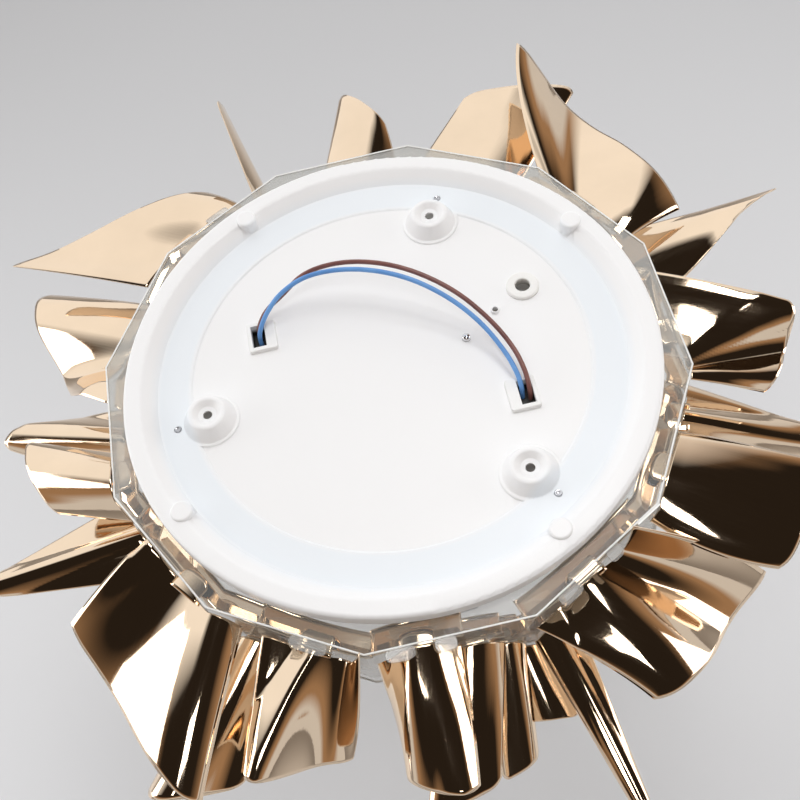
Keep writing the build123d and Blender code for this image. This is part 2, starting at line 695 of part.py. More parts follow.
# Opal bowl: a shallow dome with a flat flange against the tray
BOWL_RIM_Z = TRAY_BOTTOM - BOWL_FLANGE_T
BOWL_SPHERE_R = (BOWL_RIM_R**2 + BOWL_DEPTH**2) / (2 * BOWL_DEPTH)
BOWL_CENTRE_Z = BOWL_RIM_Z - BOWL_DEPTH + BOWL_SPHERE_R
BOWL_INNER_R = BOWL_SPHERE_R - BOWL_WALL
BOWL_DROP = BOWL_CENTRE_Z - BOWL_RIM_Z
OUTER_SPAN = math.degrees(math.acos(BOWL_DROP / BOWL_SPHERE_R))
INNER_SPAN = math.degrees(math.acos(BOWL_DROP / BOWL_INNER_R))
with BuildPart() as diffuser:
    with BuildSketch(Plane.XZ):
        with BuildLine():
            outer = CenterArc((0, BOWL_CENTRE_Z), BOWL_SPHERE_R, -90, OUTER_SPAN)
            inner = CenterArc((0, BOWL_CENTRE_Z), BOWL_INNER_R, -90, INNER_SPAN)
            Polyline(
                outer @ 1,
                (BOWL_FLANGE_R, BOWL_RIM_Z),
                (BOWL_FLANGE_R, TRAY_BOTTOM),
                ((inner @ 1).X, TRAY_BOTTOM),
                inner @ 1,
            )
            Line(outer @ 0, inner @ 0)
        make_face()
    revolve(axis=Axis.Z)

with BuildPart() as diffuser_clips:
    for index in range(CLIP_COUNT):
        plane = radial_plane(CLIP_START + index * 360 / CLIP_COUNT)
        with BuildSketch(plane):
            with BuildLine():
                Polyline(
                    (TRAY_R - CLIP_REACH, TRAY_TOP),
                    (TRAY_R + FIT, TRAY_TOP),
                    (TRAY_R + FIT, BOWL_RIM_Z),
                    (TRAY_R - CLIP_REACH + CLIP_T, BOWL_RIM_Z),
                    (TRAY_R - CLIP_REACH + CLIP_T, BOWL_RIM_Z - CLIP_T),
                    (TRAY_R + FIT + CLIP_T, BOWL_RIM_Z - CLIP_T),
                    (TRAY_R + FIT + CLIP_T, TRAY_TOP + CLIP_T),
                    (TRAY_R - CLIP_REACH, TRAY_TOP + CLIP_T),
                    close=True,
                )
            make_face()
        extrude(amount=CLIP_WIDTH / 2, both=True)

# Every piece goes to its own file
pieces = {
    "base_plate": base_plate,
    "cable_grommet": cable_grommet,
    "earth_stud": earth_stud,
    "earth_nut": earth_nut,
    "cable_frame_left": cable_frame_left,
    "cable_frame_right": cable_frame_right,
    "terminal_left": terminal_left,
    "terminal_right": terminal_right,
    "wire_blue": wire_blue,
    "wire_brown": wire_brown,
    "frame_ring": frame_ring,
    "petal_frame": petal_frame,
    "carrier_screws": carrier_screws,
    "spacers": spacers,
    "led_tray": led_tray,
    "driver": driver,
    "driver_screws": driver_screws,
    "led_board": led_board,
    "leds": leds,
    "board_screws": board_screws,
    "diffuser": diffuser,
    "diffuser_clips": diffuser_clips,
}
for number, row in enumerate(PETALS, start=1):
    pieces[f"petal_{number:02d}"] = make_petal(row)

for name, piece in pieces.items():
    piece.part.label = name
    export_step(piece.part, f"parts/{name}.step")
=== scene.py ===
import json
import math

import bmesh
import bpy
from mathutils import Matrix, Vector, noise


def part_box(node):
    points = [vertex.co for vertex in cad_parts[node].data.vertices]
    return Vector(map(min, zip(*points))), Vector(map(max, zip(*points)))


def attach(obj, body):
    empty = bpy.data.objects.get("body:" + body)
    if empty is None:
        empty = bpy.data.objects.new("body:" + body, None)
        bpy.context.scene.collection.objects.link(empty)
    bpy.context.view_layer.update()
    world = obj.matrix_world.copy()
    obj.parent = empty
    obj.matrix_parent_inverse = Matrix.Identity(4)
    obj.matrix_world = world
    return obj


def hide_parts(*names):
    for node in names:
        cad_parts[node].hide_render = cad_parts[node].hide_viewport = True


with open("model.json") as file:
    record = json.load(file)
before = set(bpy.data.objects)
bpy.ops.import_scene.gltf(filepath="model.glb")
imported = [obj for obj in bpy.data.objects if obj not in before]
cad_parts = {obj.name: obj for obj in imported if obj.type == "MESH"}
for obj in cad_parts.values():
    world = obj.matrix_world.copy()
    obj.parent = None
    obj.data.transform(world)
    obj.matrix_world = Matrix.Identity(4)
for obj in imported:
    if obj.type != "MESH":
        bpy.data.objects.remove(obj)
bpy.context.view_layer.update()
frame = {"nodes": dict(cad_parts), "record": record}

bl_info = {
    "name": "Petal ceiling light",
    "version": (1, 0, 0),
    "blender": (4, 5, 0),
    "location": "View3D > Sidebar > Ceiling light",
    "description": "Dresses the packed model of an LED ceiling light with a petal shade",
    "category": "Object",
}

BODY = "root"
MM = 0.001

# Camera of the photograph, which is 800 pixels square
IMAGE_SIDE = 800
FOCAL_PIXELS = 1100
SENSOR_WIDTH = 36.0
CAMERA_PLACE = (0.001849, -0.338452, 0.504436)
CAMERA_TARGET = (0.00185, -0.02821, -0.002)
CAMERA_ROLL = -12.99

# Softboxes: name, place in metres, width and height, brightness of the panel
LAMPS = (
    ("left_box", (-1.2, 0.2, 0.1), (0.6, 1.0), 2.6),
    ("right_box", (1.25, -0.05, 0.1), (0.6, 1.0), 2.6),
    ("top_box", (0.3, 0.35, 1.55), (0.55, 0.55), 7.5),
    ("front_box", (-0.1, -0.65, 1.45), (0.5, 0.3), 7.5),
)
# Wide soft light overhead, which the mirror film doesn't show
FILL = ("fill", (0, 0, 1.6), (3.2, 3.2), 0.48)
FLOOR_SIDE = 6.0
FLOOR_CLOUDING = 1.02
FLOOR_FINISH = (0.8, 12, 0.0001)

# Studio round the light: pale walls up to a low height, a warm band, a dark ceiling, and a
# tall pale wall behind; fades are sines of the elevation, the span a cosine off the rear azimuth
WALL_COLOUR = (0.63, 0.64, 0.66)
WARM_COLOUR = (0.34, 0.215, 0.125)
DARK_COLOUR = (0.02, 0.015, 0.011)
WALL_FADE = (0.14, 0.28)
WARM_FADE = (0.34, 0.62)
REAR_COLOUR = (0.98, 0.99, 1.0)
REAR_AZIMUTH = 107
REAR_SPAN = (0.5, 0.75)
REAR_FADE = (0.84, 0.93)

# Wires: routes in metres from one terminal block to the other
BLUE_ROUTE = [
    (-0.069, 0.037, -0.015), (-0.069, 0.037, -0.009), (-0.0675, 0.0395, -0.0035),
    (-0.0615, 0.046, 0.0025), (-0.051, 0.053, 0.009), (-0.033, 0.056, 0.016),
    (-0.007, 0.05, 0.02), (0.019, 0.037, 0.02), (0.04, 0.021, 0.014), (0.055, 0.004, 0.006),
    (0.064, -0.015, 0.0), (0.067, -0.028, -0.0025), (0.0675, -0.034, -0.006),
    (0.0675, -0.036, -0.0105), (0.0675, -0.036, -0.015),
]
BROWN_ROUTE = [
    (-0.069, 0.042, -0.015), (-0.069, 0.042, -0.0095), (-0.0675, 0.0445, -0.005),
    (-0.0615, 0.0515, -0.0015), (-0.05, 0.056, 0.003), (-0.035, 0.061, 0.013),
    (-0.009, 0.057, 0.019), (0.019, 0.044, 0.02), (0.044, 0.026, 0.013), (0.06, 0.006, 0.005),
    (0.069, -0.013, 0.0), (0.0715, -0.028, -0.0025), (0.0715, -0.035, -0.006),
    (0.0715, -0.038, -0.0105), (0.0715, -0.038, -0.015),
]
BLUE_LENGTH = 0.2136
BROWN_LENGTH = 0.221

# Petals, in millimetres and degrees: root azimuth and height, half width, tilt, root bow,
# tip corner A (radius, azimuth, height), tip corner B, bow and sway of the tip, rise of the
# middle; folds that run along the film: depth at the tip, number across, start in turns, and
# the curl of its edges; bulge of edge A, of edge B and of the tip; point that the folds fan out
# from, as a share of the root and a distance behind it; at need the tip's own heights, A to B
PETAL_ROWS = [
    (88, -44, 29, 0, 3, (251, 88, -40), (218, 81, -38), 5, 0, 0,
     (0.2, 1, 0.1, 1), (0, 2, 2), (0, 120)),
    (64, -44, 37, 0, 4, (239, 67, -36), (270, 51.5, -44), 2, 0, 0,
     (0.2, 1, 0.4, 1), (0, 0, 3), (0, 120)),
    (33, -20, 38, 4, 6, (264, 60, -6), (209, 21, -26), -12, 10, 2,
     (0.4, 1, 0.2, 1), (10, 0, 4), (0.4, 60), (0, -9, -17, -13, -2, 4, 0)),
    (18.5, -44, 30, 0, 4, (262.5, 15.3, -21), (226, 13.6, -19), 2, 0, 0,
     (0.15, 1, 0.6, 0.5), (2, 0, 2), (0, 120)),
    (-4, -18, 36, 4, -5, (229, -4, -14), (208, -16, -34), -8, 9, 1,
     (0.6, 1.5, 0.3, 2), (0, 0, 4), (1, 20), (0, -3, -9, -10, -2, 3, 0)),
    (-20, -46, 26, 0, 4, (237, -17, -62), (237, -21, -70), 4, 0, 1,
     (0.3, 1, 0.1, 1.5), (0, 0, 2), (0, 80)),
    (-37, -20, 30, -4, 5, (230, -27, -26), (233, -43, -28), 3, 1, 1,
     (0.1, 1, 0.7, 2), (0, 5, 4), (0, 120)),
    (-62, -18, 39, 0, -7, (228, -42, -50), (227, -66, -36), -9, 9, 3,
     (0.9, 1.5, 0.1, 3), (3, -3, 5), (-0.5, 50)),
    (-87, -34, 18, 0, 3, (224, -88, -52), (230, -97.5, -58), 4, 0, 0,
     (0.2, 1, 0.2, 1), (0, 0, 2), (0, 120)),
    (-71.5, -42, 12.5, 10, 2, (262, -73, -60), (258, -74.7, -60), 1, 0, 1,
     (0.3, 1, 0.6, 2), (0, 0, 2), (0, 60)),
    (-81, -42, 11, 0, 2, (215, -82, -62), (221, -87.5, -62), 3, 0, 0,
     (0.4, 1, 0.5, 2.5), (0, 0, 1), (0, 80)),
    (-96, -18, 22, 0, 3, (231, -91, -26), (215, -100, -40), 7, 0, 0,
     (0.8, 1.5, 0.8, 4), (0, 0, 3), (-0.2, 60)),
    (-115, -20, 29, 0, -6, (209, -107, -50), (230, -120, -36), -10, 8, 2,
     (0.9, 1.5, 0.4, 4.5), (0, 0, 2), (-0.6, 50)),
    (-127, -46, 20, 0, 3, (229, -122, -66), (255, -132, -60), 5, 4, 0,
     (0.5, 1.5, 0.3, 3), (0, 0, 2), (0, 80)),
    (-141, -20, 38, 0, 6, (250, -123.5, -34), (221, -153, -30), -5, -7, 2,
     (1, 1.5, 0.6, 4.5), (0, 0, 4), (-0.4, 50)),
    (-162, -46, 28, 0, 4, (256, -166.5, -60), (258, -169.5, -60), 2, 0, 0,
     (0.2, 1, 0.2, 0.5), (0, 0, 0), (0, 120)),
    (-170, -18, 24, 0, 4, (204, -171, -30), (217, -185, -30), 7, 0, 0,
     (0.3, 1, 0.3, 1.5), (0, 0, 2), (0, 90)),
    (175, -46, 25, 0, 4, (246, 171, -60), (225, 167, -60), 5, 0, 0,
     (0.2, 1, 0.5, 1), (0, 3, 2), (0, 120)),
    (158, -20, 38, 0, -6, (201, 165, -40), (249, 147, -40), 2, 4, 1,
     (0.9, 1.5, 0.2, 3.5), (0, 0, 8), (0.3, 50)),
    (130, -18, 46, 6, 6, (257, 148, -8), (194, 118, -20), 2, 5, 1,
     (0.3, 1, 0.5, 1), (0, 0, 0), (0.6, 80)),
    (109, -30, 16, 70, 2, (249, 107, -8), (268, 106, -40), 2, 0, 0,
     (0.1, 1, 0.1, 0.3), (0, 0, 0), (0, 120)),
    (-77.5, -53, 17, 0, 1, (205, -74.5, -64), (197, -81.5, -65), 3, 0, 0,
     (0.2, 1, 0.4, 0.5), (0, 0, 0), (0, 120)),
]
REACH_BASE = 170
ROOT_GAP = 1.8
WALL_GAP = 0.4
APRON_ROWS = 4
APRON_LIMIT = 14
# Least cosine between a flat and the way that a petal faces, or that a line reaches it
FACE_AHEAD = 0.1
FACE_CLOSING = 0.2
BOW_STEPS = 8
SWAY_GAIN = 2.6
CURL_START = 0.72
ROOT_CURL = 0.6
# Share of the half width from which the tip's slope is carried on, and how far
SLOPE_START = 0.95
SLOPE_REACH = 0.6
CORNER_POWER = 12
# Slow waves of the film: how many across and along, and the step from petal to petal
RIPPLES = (2.4, 0.9, 7.3)
FACET_KEEP = 10
TONGUE_HALF = 9
TONGUE_SHARE = 0.6
TONGUE_TIP = 152
TONGUE_ROWS = 6
TONGUE_NOSE = 0.3
# Flaps of film inside the strip: the flat that they are set from, where they start and end behind
# it, how far past the root they reach sideways, their step from petal to petal, their lift from
# row to row, the tilt from which a petal has none, and their reach in the film's pattern
FLAP_FLAT = 160.3
FLAP_START = 158.3
FLAP_TIP = 146.5
FLAP_SHARE = 1.06
FLAP_STEP = 0.5
FLAP_LIFTS = (0, -6, -4, -2, 0, 2, 4)
FLAP_TILT = 20
FLAP_PATTERN = 0.1

# Clear band, in millimetres and degrees
BAND_SIDES = 12
BAND_RADIUS = 166
BAND_FLAT = BAND_RADIUS * math.cos(math.pi / BAND_SIDES)
LAP_AZIMUTH = -60
LAP_WIDTH = 16
# Cosine to the outward way, under which a face of the strip counts as a cut edge
EDGE_FACING = 0.9
# Middle of the lap outside the flat, as a share of the wall
LAP_STEP = 0.53
SLOT_PLAY = 0.6
BOX_FACES = (
    (0, 1, 3, 2), (4, 6, 7, 5), (0, 2, 6, 4), (1, 5, 7, 3), (0, 4, 5, 1), (2, 3, 7, 6),
)
# Clear tabs on the strip's upper edge: azimuth and length
EDGE_TABS = ((-115, 20), (-99, 15), (-91, 11), (-68, 14), (-57, 9), (121, 16))
TAB_DEPTH = 6.5
TAB_DROP = 2.5
TAB_INSET = 0.6
TAB_START = 1.2
TAB_WALL = 1.1
TAB_ROUND = 0.6
TAB_TURNS = 24

# Places and sizes of the fittings, in millimetres
DISC_TOP = -9.3
SHEET = 1
GROMMET_PLACE = (85, 32)
GROMMET_BORE = 4.3
GROMMET_NECK = 7.2
GROMMET_LIPS = (8.5, 9.5)
GROMMET_ROUNDS = (0.8, 1.2)
GROMMET_TOP = DISC_TOP + 2.3
GROMMET_FOOT = -12.3
STUD_PLACE = (46, 6)
STUD_HEAD = 2.5
STUD_BRIM = 1.4
STUD_DOME = 1.8
STUD_RADIUS = 1.5
STUD_ROOT = 1.25
STUD_PITCH = 0.5
STUD_THREAD = 6.6
STUD_TIP = 1.2
STUD_LENGTH = 7

# Pieces that repeat on a circle: count, orbit in millimetres and first azimuth
CARRIER_RING = (3, 122, 65)
CLIP_RING = (3, 138, 35)
LED_RINGS = (("inner_leds", 12, 45), ("outer_leds", 24, 95))
# Screws: piece, node, radius and height of the head, radius and pitch of the thread, ring, and
# whether the head is the upper end
SCREWS = (
    ("long_screws", "carrier_screws", (3.8, 2.4, 2.0, 0.7), CARRIER_RING, False),
    ("board_fixings", "board_screws", (2.8, 2.0, 1.5, 0.5), (4, 70, 20), False),
    ("driver_fixings", "driver_screws", (2.8, 2.0, 1.5, 0.5), (2, 36, 0), True),
)
# Shape of a screw: its recess and head as shares of the head's radius and height, with the
# recess's edge as a share and a depth in millimetres between them; then shares of the thread's
# radius for its root, and for the chamfer, face and dimple of its tip
SCREW_RECESS = ((0, 0.55), (0.32, 0.5))
RECESS_EDGE = (0.42, 0.1)
SCREW_HEAD = ((0.6, 0), (0.9, 0.25), (1, 0.6), (1, 1))
THREAD_ROOT = 0.86
SCREW_TIP = (0.8, 0.5, 0.4)
SPACER_BORE = 2.15
SPACER_RADIUS = 3.5
SPACER_CHAMFER = 0.3
# LED package: half width, half length and rise of its outlines from the lower edge inward
LED_OUTLINES = ((1.4, 1.75, 0.12), (1.3, 1.65, 0), (1, 1.3, 0), (0.8, 1.1, 0.1), (0.4, 0.6, 0.02))
LED_TURNS = 16
LED_SQUARENESS = 0.85
CLIP_HALF = 5
CLIP_METAL = 1
CLIP_FACE = 0.3
CLIP_ENDS = (-3, -4)
EDGE_SOFT = 0.0003
# Angles in degrees from which an edge stays sharp
CAD_CREASE = 32
RING_CREASE = 20
TRIM_CREASE = 50
LED_CREASE = 35

# Colour of the painted shade down in the cable frames' holes, and the heights in metres where it
# is full and starts
WELL_SHADE_COLOUR = (0.02, 0.018, 0.016)
WELL_SHADE_HEIGHTS = (-0.0125, -0.0092)

# Plain finishes: the two colours that it clouds between, roughness, grains per metre and depth
PLAIN_FINISHES = {
    "white_rubber": ((0.86, 0.85, 0.83), (0.9, 0.9, 0.88), 0.5, 900, 0.00003),
    "bright_metal": ((0.75, 0.75, 0.77), (0.85, 0.85, 0.86), 0.14, 1200, 0.00001),
    "white_plastic": ((0.86, 0.86, 0.85), (0.9, 0.9, 0.9), 0.38, 1000, 0.00003),
    "blue_insulation": ((0.1, 0.27, 0.62), (0.15, 0.36, 0.74), 0.36, 900, 0.00003),
    "brown_insulation": ((0.17, 0.065, 0.055), (0.25, 0.105, 0.085), 0.3, 900, 0.00003),
    "zinc_steel": ((0.5, 0.5, 0.52), (0.68, 0.68, 0.7), 0.3, 1500, 0.00002),
    "white_tray": ((0.84, 0.84, 0.84), (0.88, 0.88, 0.88), 0.45, 800, 0.00004),
    "board_mask": ((0.86, 0.87, 0.84), (0.9, 0.9, 0.88), 0.35, 600, 0.00002),
    "led_phosphor": ((0.9, 0.72, 0.16), (0.95, 0.82, 0.3), 0.3, 3000, 0.00002),
    "driver_case": ((0.8, 0.8, 0.79), (0.86, 0.86, 0.85), 0.55, 900, 0.00006),
    "opal_bowl": ((0.88, 0.88, 0.86), (0.93, 0.93, 0.91), 0.4, 500, 0.00003),
    "film_edge": ((0.72, 0.56, 0.42), (0.85, 0.72, 0.58), 0.35, 900, 0.00002),
    "clear_edge": ((0.82, 0.82, 0.8), (0.92, 0.92, 0.9), 0.25, 900, 0.00002),
}
FINISH_EXTRAS = {
    "bright_metal": {"metallic": 1.0},
    # painted shade down the cable frames' holes
    "white_plastic": {"well": WELL_SHADE_HEIGHTS},
    "zinc_steel": {"metallic": 1.0},
    "opal_bowl": {"subsurface_weight": 0.35, "subsurface_scale": 0.01},
}
CLOUD_GRAINS = 12
SHEEN_CHANGE = 0.1
STREAK_STRETCH = (60, 2.5, 1)
FILM_CLOUDS = 25
FILM_ROUGHNESS = (0.03, 0.09)
DEEP_TINT = 0.93
CLEAR_CLOUDS = 60
CLEAR_THROUGH = (0.95, 0.95, 0.94, 1)
CLEAR_GLOSS = (0.8, 0.8, 0.79, 1)
CLEAR_ROUGHNESS = (0.05, 0.16)
CLEAR_WAVES = 0.0004
CLEAR_GAIN = 0.35
TAB_HAZE = 0.18
PAINT_CLOUDS = 30
PAINT_CLOUDING = 0.03
PAINT_ROUGHNESS = (0.42, 0.5)
PAINT_COAT = 0.25
PEEL_GRAIN = 700
PEEL_DEPTH = 0.00004
# Radii in metres between which a painted cool reflection tints the plate's ring, and its stops
# along them
RING_LIGHT_SPAN = (0.1, 0.15)
RING_LIGHT_STOPS = (0.22, 0.3, 0.6, 0.72)


def mm(*values):
    """Vector of millimetre values in metres."""
    return Vector(values) * MM


def polar(radius, azimuth, height=0.0):
    """Point at a radius, an azimuth in degrees and a height."""
    angle = math.radians(azimuth)
    return Vector((radius * math.cos(angle), radius * math.sin(angle), height))


def heights_of(node):
    """Lower and upper end of a CAD node, in millimetres."""
    low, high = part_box(node)
    return low[2] / MM, high[2] / MM


# Node helpers


def new_tree(name):
    """Empty material and its tree."""
    material = bpy.data.materials.new(name)
    material.use_nodes = True
    material.node_tree.nodes.clear()
    return material, material.node_tree


def add_node(tree, kind, inputs=None, **settings):
    """Adds a node and fills its inputs with values or joins them to other sockets."""
    made = tree.nodes.new(kind)
    for key, value in settings.items():
        setattr(made, key, value)
    for key, value in (inputs or {}).items():
        if isinstance(value, bpy.types.NodeSocket):
            tree.links.new(value, made.inputs[key])
        else:
            made.inputs[key].default_value = value
    return made


def number_of(tree, operation, *inputs):
    """Number worked out from numbers and sockets."""
    made = add_node(tree, "ShaderNodeMath", dict(enumerate(inputs)), operation=operation)
    return made.outputs[0]


def vector_of(tree, operation, *inputs):
    """Vector worked out from vectors and sockets, or a number where the operation gives one."""
    made = add_node(tree, "ShaderNodeVectorMath", dict(enumerate(inputs)), operation=operation)
    return made.outputs["Value" if operation in ("LENGTH", "DOT_PRODUCT") else "Vector"]


def joined_axes(tree, **axes):
    """Vector put together from sockets, by axis."""
    return add_node(tree, "ShaderNodeCombineXYZ", axes).outputs[0]


def height_of(tree, vector):
    """Height of a vector."""
    return add_node(tree, "ShaderNodeSeparateXYZ", {"Vector": vector}).outputs["Z"]


def flat_of(tree, vector):
    """Vector without its height."""
    return vector_of(tree, "MULTIPLY", vector, (1, 1, 0))


def object_space(tree):
    """Object coordinates."""
    return add_node(tree, "ShaderNodeTexCoord").outputs["Object"]


def speckle(tree, space, scale, detail=3.0, rough=0.5):
    """Noise between 0 and 1 at a number of features per metre."""
    inputs = {"Scale": scale, "Detail": detail, "Roughness": rough, "Vector": space}
    return add_node(tree, "ShaderNodeTexNoise", inputs).outputs["Fac"]


def spread(tree, source, low, high, start=0.3, end=0.7):
    """Maps a stretch of a value to a range."""
    inputs = {"From Min": start, "From Max": end, "To Min": low, "To Max": high, "Value": source}
    return add_node(tree, "ShaderNodeMapRange", inputs).outputs["Result"]


def colour_ramp(tree, source, stops):
    """Colour along a value, from stops of a position and a colour."""
    ramp = add_node(tree, "ShaderNodeValToRGB", {"Fac": source})
    elements = ramp.color_ramp.elements
    for element, (position, colour) in zip(elements, stops):
        element.position, element.color = position, (*colour, 1)
    for position, colour in stops[2:]:
        elements.new(position).color = (*colour, 1)
    return ramp.outputs["Color"]


def blend_colours(tree, source, first, second, start=0.3, end=0.7):
    """Colour between two along a stretch of a value."""
    return colour_ramp(tree, source, ((start, first), (end, second)))


def mixed_colour(tree, share, first, second, **settings):
    """Colour between a socket's colour and another by a share."""
    inputs = {0: share, 6: first, 7: second}
    return add_node(tree, "ShaderNodeMix", inputs, data_type="RGBA", **settings).outputs[2]


def bumps(tree, source, depth):
    """Normal that follows a height of a depth in metres."""
    inputs = {"Strength": 1.0, "Distance": depth, "Height": source}
    return add_node(tree, "ShaderNodeBump", inputs).outputs["Normal"]


def coated(tree, **inputs):
    """Principled surface, with its inputs' names in small letters."""
    names = {key.replace("_", " ").title(): value for key, value in inputs.items()}
    return add_node(tree, "ShaderNodeBsdfPrincipled", names).outputs["BSDF"]


def end_finish(material, tree, surface):
    """Ends a material in a surface."""
    add_node(tree, "ShaderNodeOutputMaterial", {"Surface": surface})
    return material


# Finishes


def plain_finish(name, first, second, rough, grain, depth, well=None, **inputs):
    """Finish with a slight cloud of colour, a changing sheen and a fine grain.

    With a well, painted shade darkens it between two heights, where shade falls down a hole.
    """
    material, tree = new_tree(name)
    space = object_space(tree)
    cloud = speckle(tree, space, grain / CLOUD_GRAINS)
    colour = blend_colours(tree, cloud, first, second)
    if well:
        # painted shade: the colour goes dark down the well, in place of the shade there
        down = spread(tree, height_of(tree, space), 1, 0, *well)
        colour = mixed_colour(tree, down, colour, (*WELL_SHADE_COLOUR, 1))
    surface = coated(
        tree,
        base_color=colour,
        roughness=spread(tree, cloud, rough * (1 - SHEEN_CHANGE), rough * (1 + SHEEN_CHANGE)),
        normal=bumps(tree, speckle(tree, space, grain), depth),
        **inputs,
    )
    return end_finish(material, tree, surface)


def film_finish(settings):
    """Mirror film: metallised, with faint streaks along the petal and a soft haze."""
    material, tree = new_tree("rose_gold_film")
    along = add_node(tree, "ShaderNodeUVMap", uv_map="petal").outputs["UV"]
    stretched = add_node(tree, "ShaderNodeMapping", {"Scale": STREAK_STRETCH, "Vector": along})
    streaks = speckle(tree, stretched.outputs["Vector"], 1.0, 4.0, 0.6)
    cloud = speckle(tree, object_space(tree), FILM_CLOUDS)
    deep = [channel * DEEP_TINT for channel in settings.tint]
    surface = coated(
        tree,
        metallic=1.0,
        base_color=blend_colours(tree, cloud, deep, settings.tint),
        roughness=spread(tree, streaks, *FILM_ROUGHNESS),
        normal=bumps(tree, streaks, settings.streak_depth),
    )
    return end_finish(material, tree, surface)


def clear_finish(name, settings, haze=0):
    """Clear sheet: seen through, with bright reflections where it turns away."""
    material, tree = new_tree(name)
    cloud = speckle(tree, object_space(tree), CLEAR_CLOUDS)
    through = add_node(tree, "ShaderNodeBsdfTransparent", {"Color": CLEAR_THROUGH})
    gloss = coated(
        tree,
        base_color=CLEAR_GLOSS,
        coat_weight=1.0,
        roughness=spread(tree, cloud, *CLEAR_ROUGHNESS),
        normal=bumps(tree, cloud, CLEAR_WAVES),
    )
    turn = add_node(tree, "ShaderNodeLayerWeight", {"Blend": settings.sheen}).outputs["Fresnel"]
    low = settings.haze + haze
    share = spread(tree, turn, low, low + CLEAR_GAIN, 0.0, 1.0)
    mixed = add_node(tree, "ShaderNodeMixShader", {0: share, 1: through.outputs[0], 2: gloss})
    return end_finish(material, tree, mixed.outputs[0])


def paint_finish(settings):
    """White coat of the pressed plate, with a painted cool reflection on the ring that bears the
    screws.
    """
    material, tree = new_tree("plate_paint")
    space = object_space(tree)
    cloud = speckle(tree, space, PAINT_CLOUDS)
    reach = vector_of(tree, "LENGTH", flat_of(tree, space))
    # painted cool reflection on the ring, blended in along the radius
    white, ring_light = settings.paint, settings.ring_painted_light
    colours = zip(RING_LIGHT_STOPS, (white, ring_light, ring_light, white))
    ring = colour_ramp(tree, spread(tree, reach, 0, 1, *RING_LIGHT_SPAN), list(colours))
    tints = blend_colours(tree, cloud, (0.8, 0.8, 0.82), (1, 1, 1))
    surface = coated(
        tree,
        coat_weight=PAINT_COAT,
        coat_roughness=PAINT_COAT,
        base_color=mixed_colour(tree, PAINT_CLOUDING, ring, tints, blend_type="MULTIPLY"),
        roughness=spread(tree, cloud, *PAINT_ROUGHNESS),
        normal=bumps(tree, speckle(tree, space, PEEL_GRAIN), PEEL_DEPTH),
    )
    return end_finish(material, tree, surface)


def make_finishes(scene):
    """Every finish: the record's slots, and the film's cut edge, the strip's and its tabs."""
    found = {
        name: plain_finish(name, *row, **FINISH_EXTRAS.get(name, {}))
        for name, row in PLAIN_FINISHES.items()
    }
    found["plate_paint"] = paint_finish(scene.light_plate)
    found["rose_gold_film"] = film_finish(scene.light_petals)
    found["clear_film"] = clear_finish("clear_sheet", scene.light_band)
    found["clear_tab"] = clear_finish("clear_tab", scene.light_band, TAB_HAZE)
    return found


FINISHES = {}


def finish_of(slot):
    """Finish of a slot, made once."""
    if not FINISHES:
        FINISHES.update(make_finishes(bpy.context.scene))
    return FINISHES[slot]


# Mesh helpers


def link_object(name, data):
    """Object of the data, linked to the scene."""
    made = bpy.data.objects.new(name, data)
    bpy.context.scene.collection.objects.link(made)
    return made


def add_piece(name, mesh, slot, *nodes):
    """Links a finished mesh as a piece of the light and hides the nodes that it stands for."""
    piece = link_object(name, mesh)
    if not mesh.materials:
        mesh.materials.append(finish_of(slot))
    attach(piece, BODY)
    if nodes:
        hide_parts(*nodes)
    return piece


def smooth_mesh(mesh, merge, outward):
    """Merges points that lie together and shades every face smooth."""
    work = bmesh.new()
    work.from_mesh(mesh)
    bmesh.ops.remove_doubles(work, verts=work.verts, dist=merge)
    if outward:
        bmesh.ops.recalc_face_normals(work, faces=work.faces)
    for face in work.faces:
        face.smooth = True
    work.to_mesh(mesh)
    work.free()


def mesh_of(name, vertices, faces):
    """Smooth mesh with its faces pointing outward."""
    mesh = bpy.data.meshes.new(name)
    mesh.from_pydata([tuple(point) for point in vertices], [], faces)
    smooth_mesh(mesh, merge=1e-6, outward=True)
    return mesh


def smooth_copy(node, name, slot, crease=CAD_CREASE):
    """Copy of a CAD node, merged and shaded smooth up to a crease angle in degrees."""
    mesh = frame["nodes"][node].data.copy()
    mesh.name = name
    mesh.materials.clear()
    smooth_mesh(mesh, merge=2e-6, outward=False)
    mesh.set_sharp_from_angle(angle=math.radians(crease))
    piece = add_piece(name, mesh, slot, node)
    shading = piece.modifiers.new("Flat faces", "WEIGHTED_NORMAL")
    shading.keep_sharp = True
    return piece


def tube_faces(base, rings, count):
    """Faces that join rings of points from a first index on, with both ends closed."""
    last = base + (rings - 1) * count
    faces = [range(base, base + count), range(last, last + count)]
    for start in range(base, last, count):
        for k in range(count):
            here, there = start + k, start + (k + 1) % count
            faces.append((here, there, there + count, here + count))
    return faces


def turned(name, profile, segments, centre=(0, 0)):
    """Mesh turned about an upright axis from an open or closed profile in millimetres."""
    vertices = []
    for step in range(segments):
        way = polar(1, 360 * step / segments)
        for radius, height in profile:
            vertices.append(mm(centre[0] + radius * way.x, centre[1] + radius * way.y, height))
    rows = len(profile)
    faces = []
    for step in range(segments):
        here, there = step * rows, (step + 1) % segments * rows
        for row in range(rows - 1):
            faces.append((here + row, there + row, there + row + 1, here + row + 1))
    return mesh_of(name, vertices, faces)


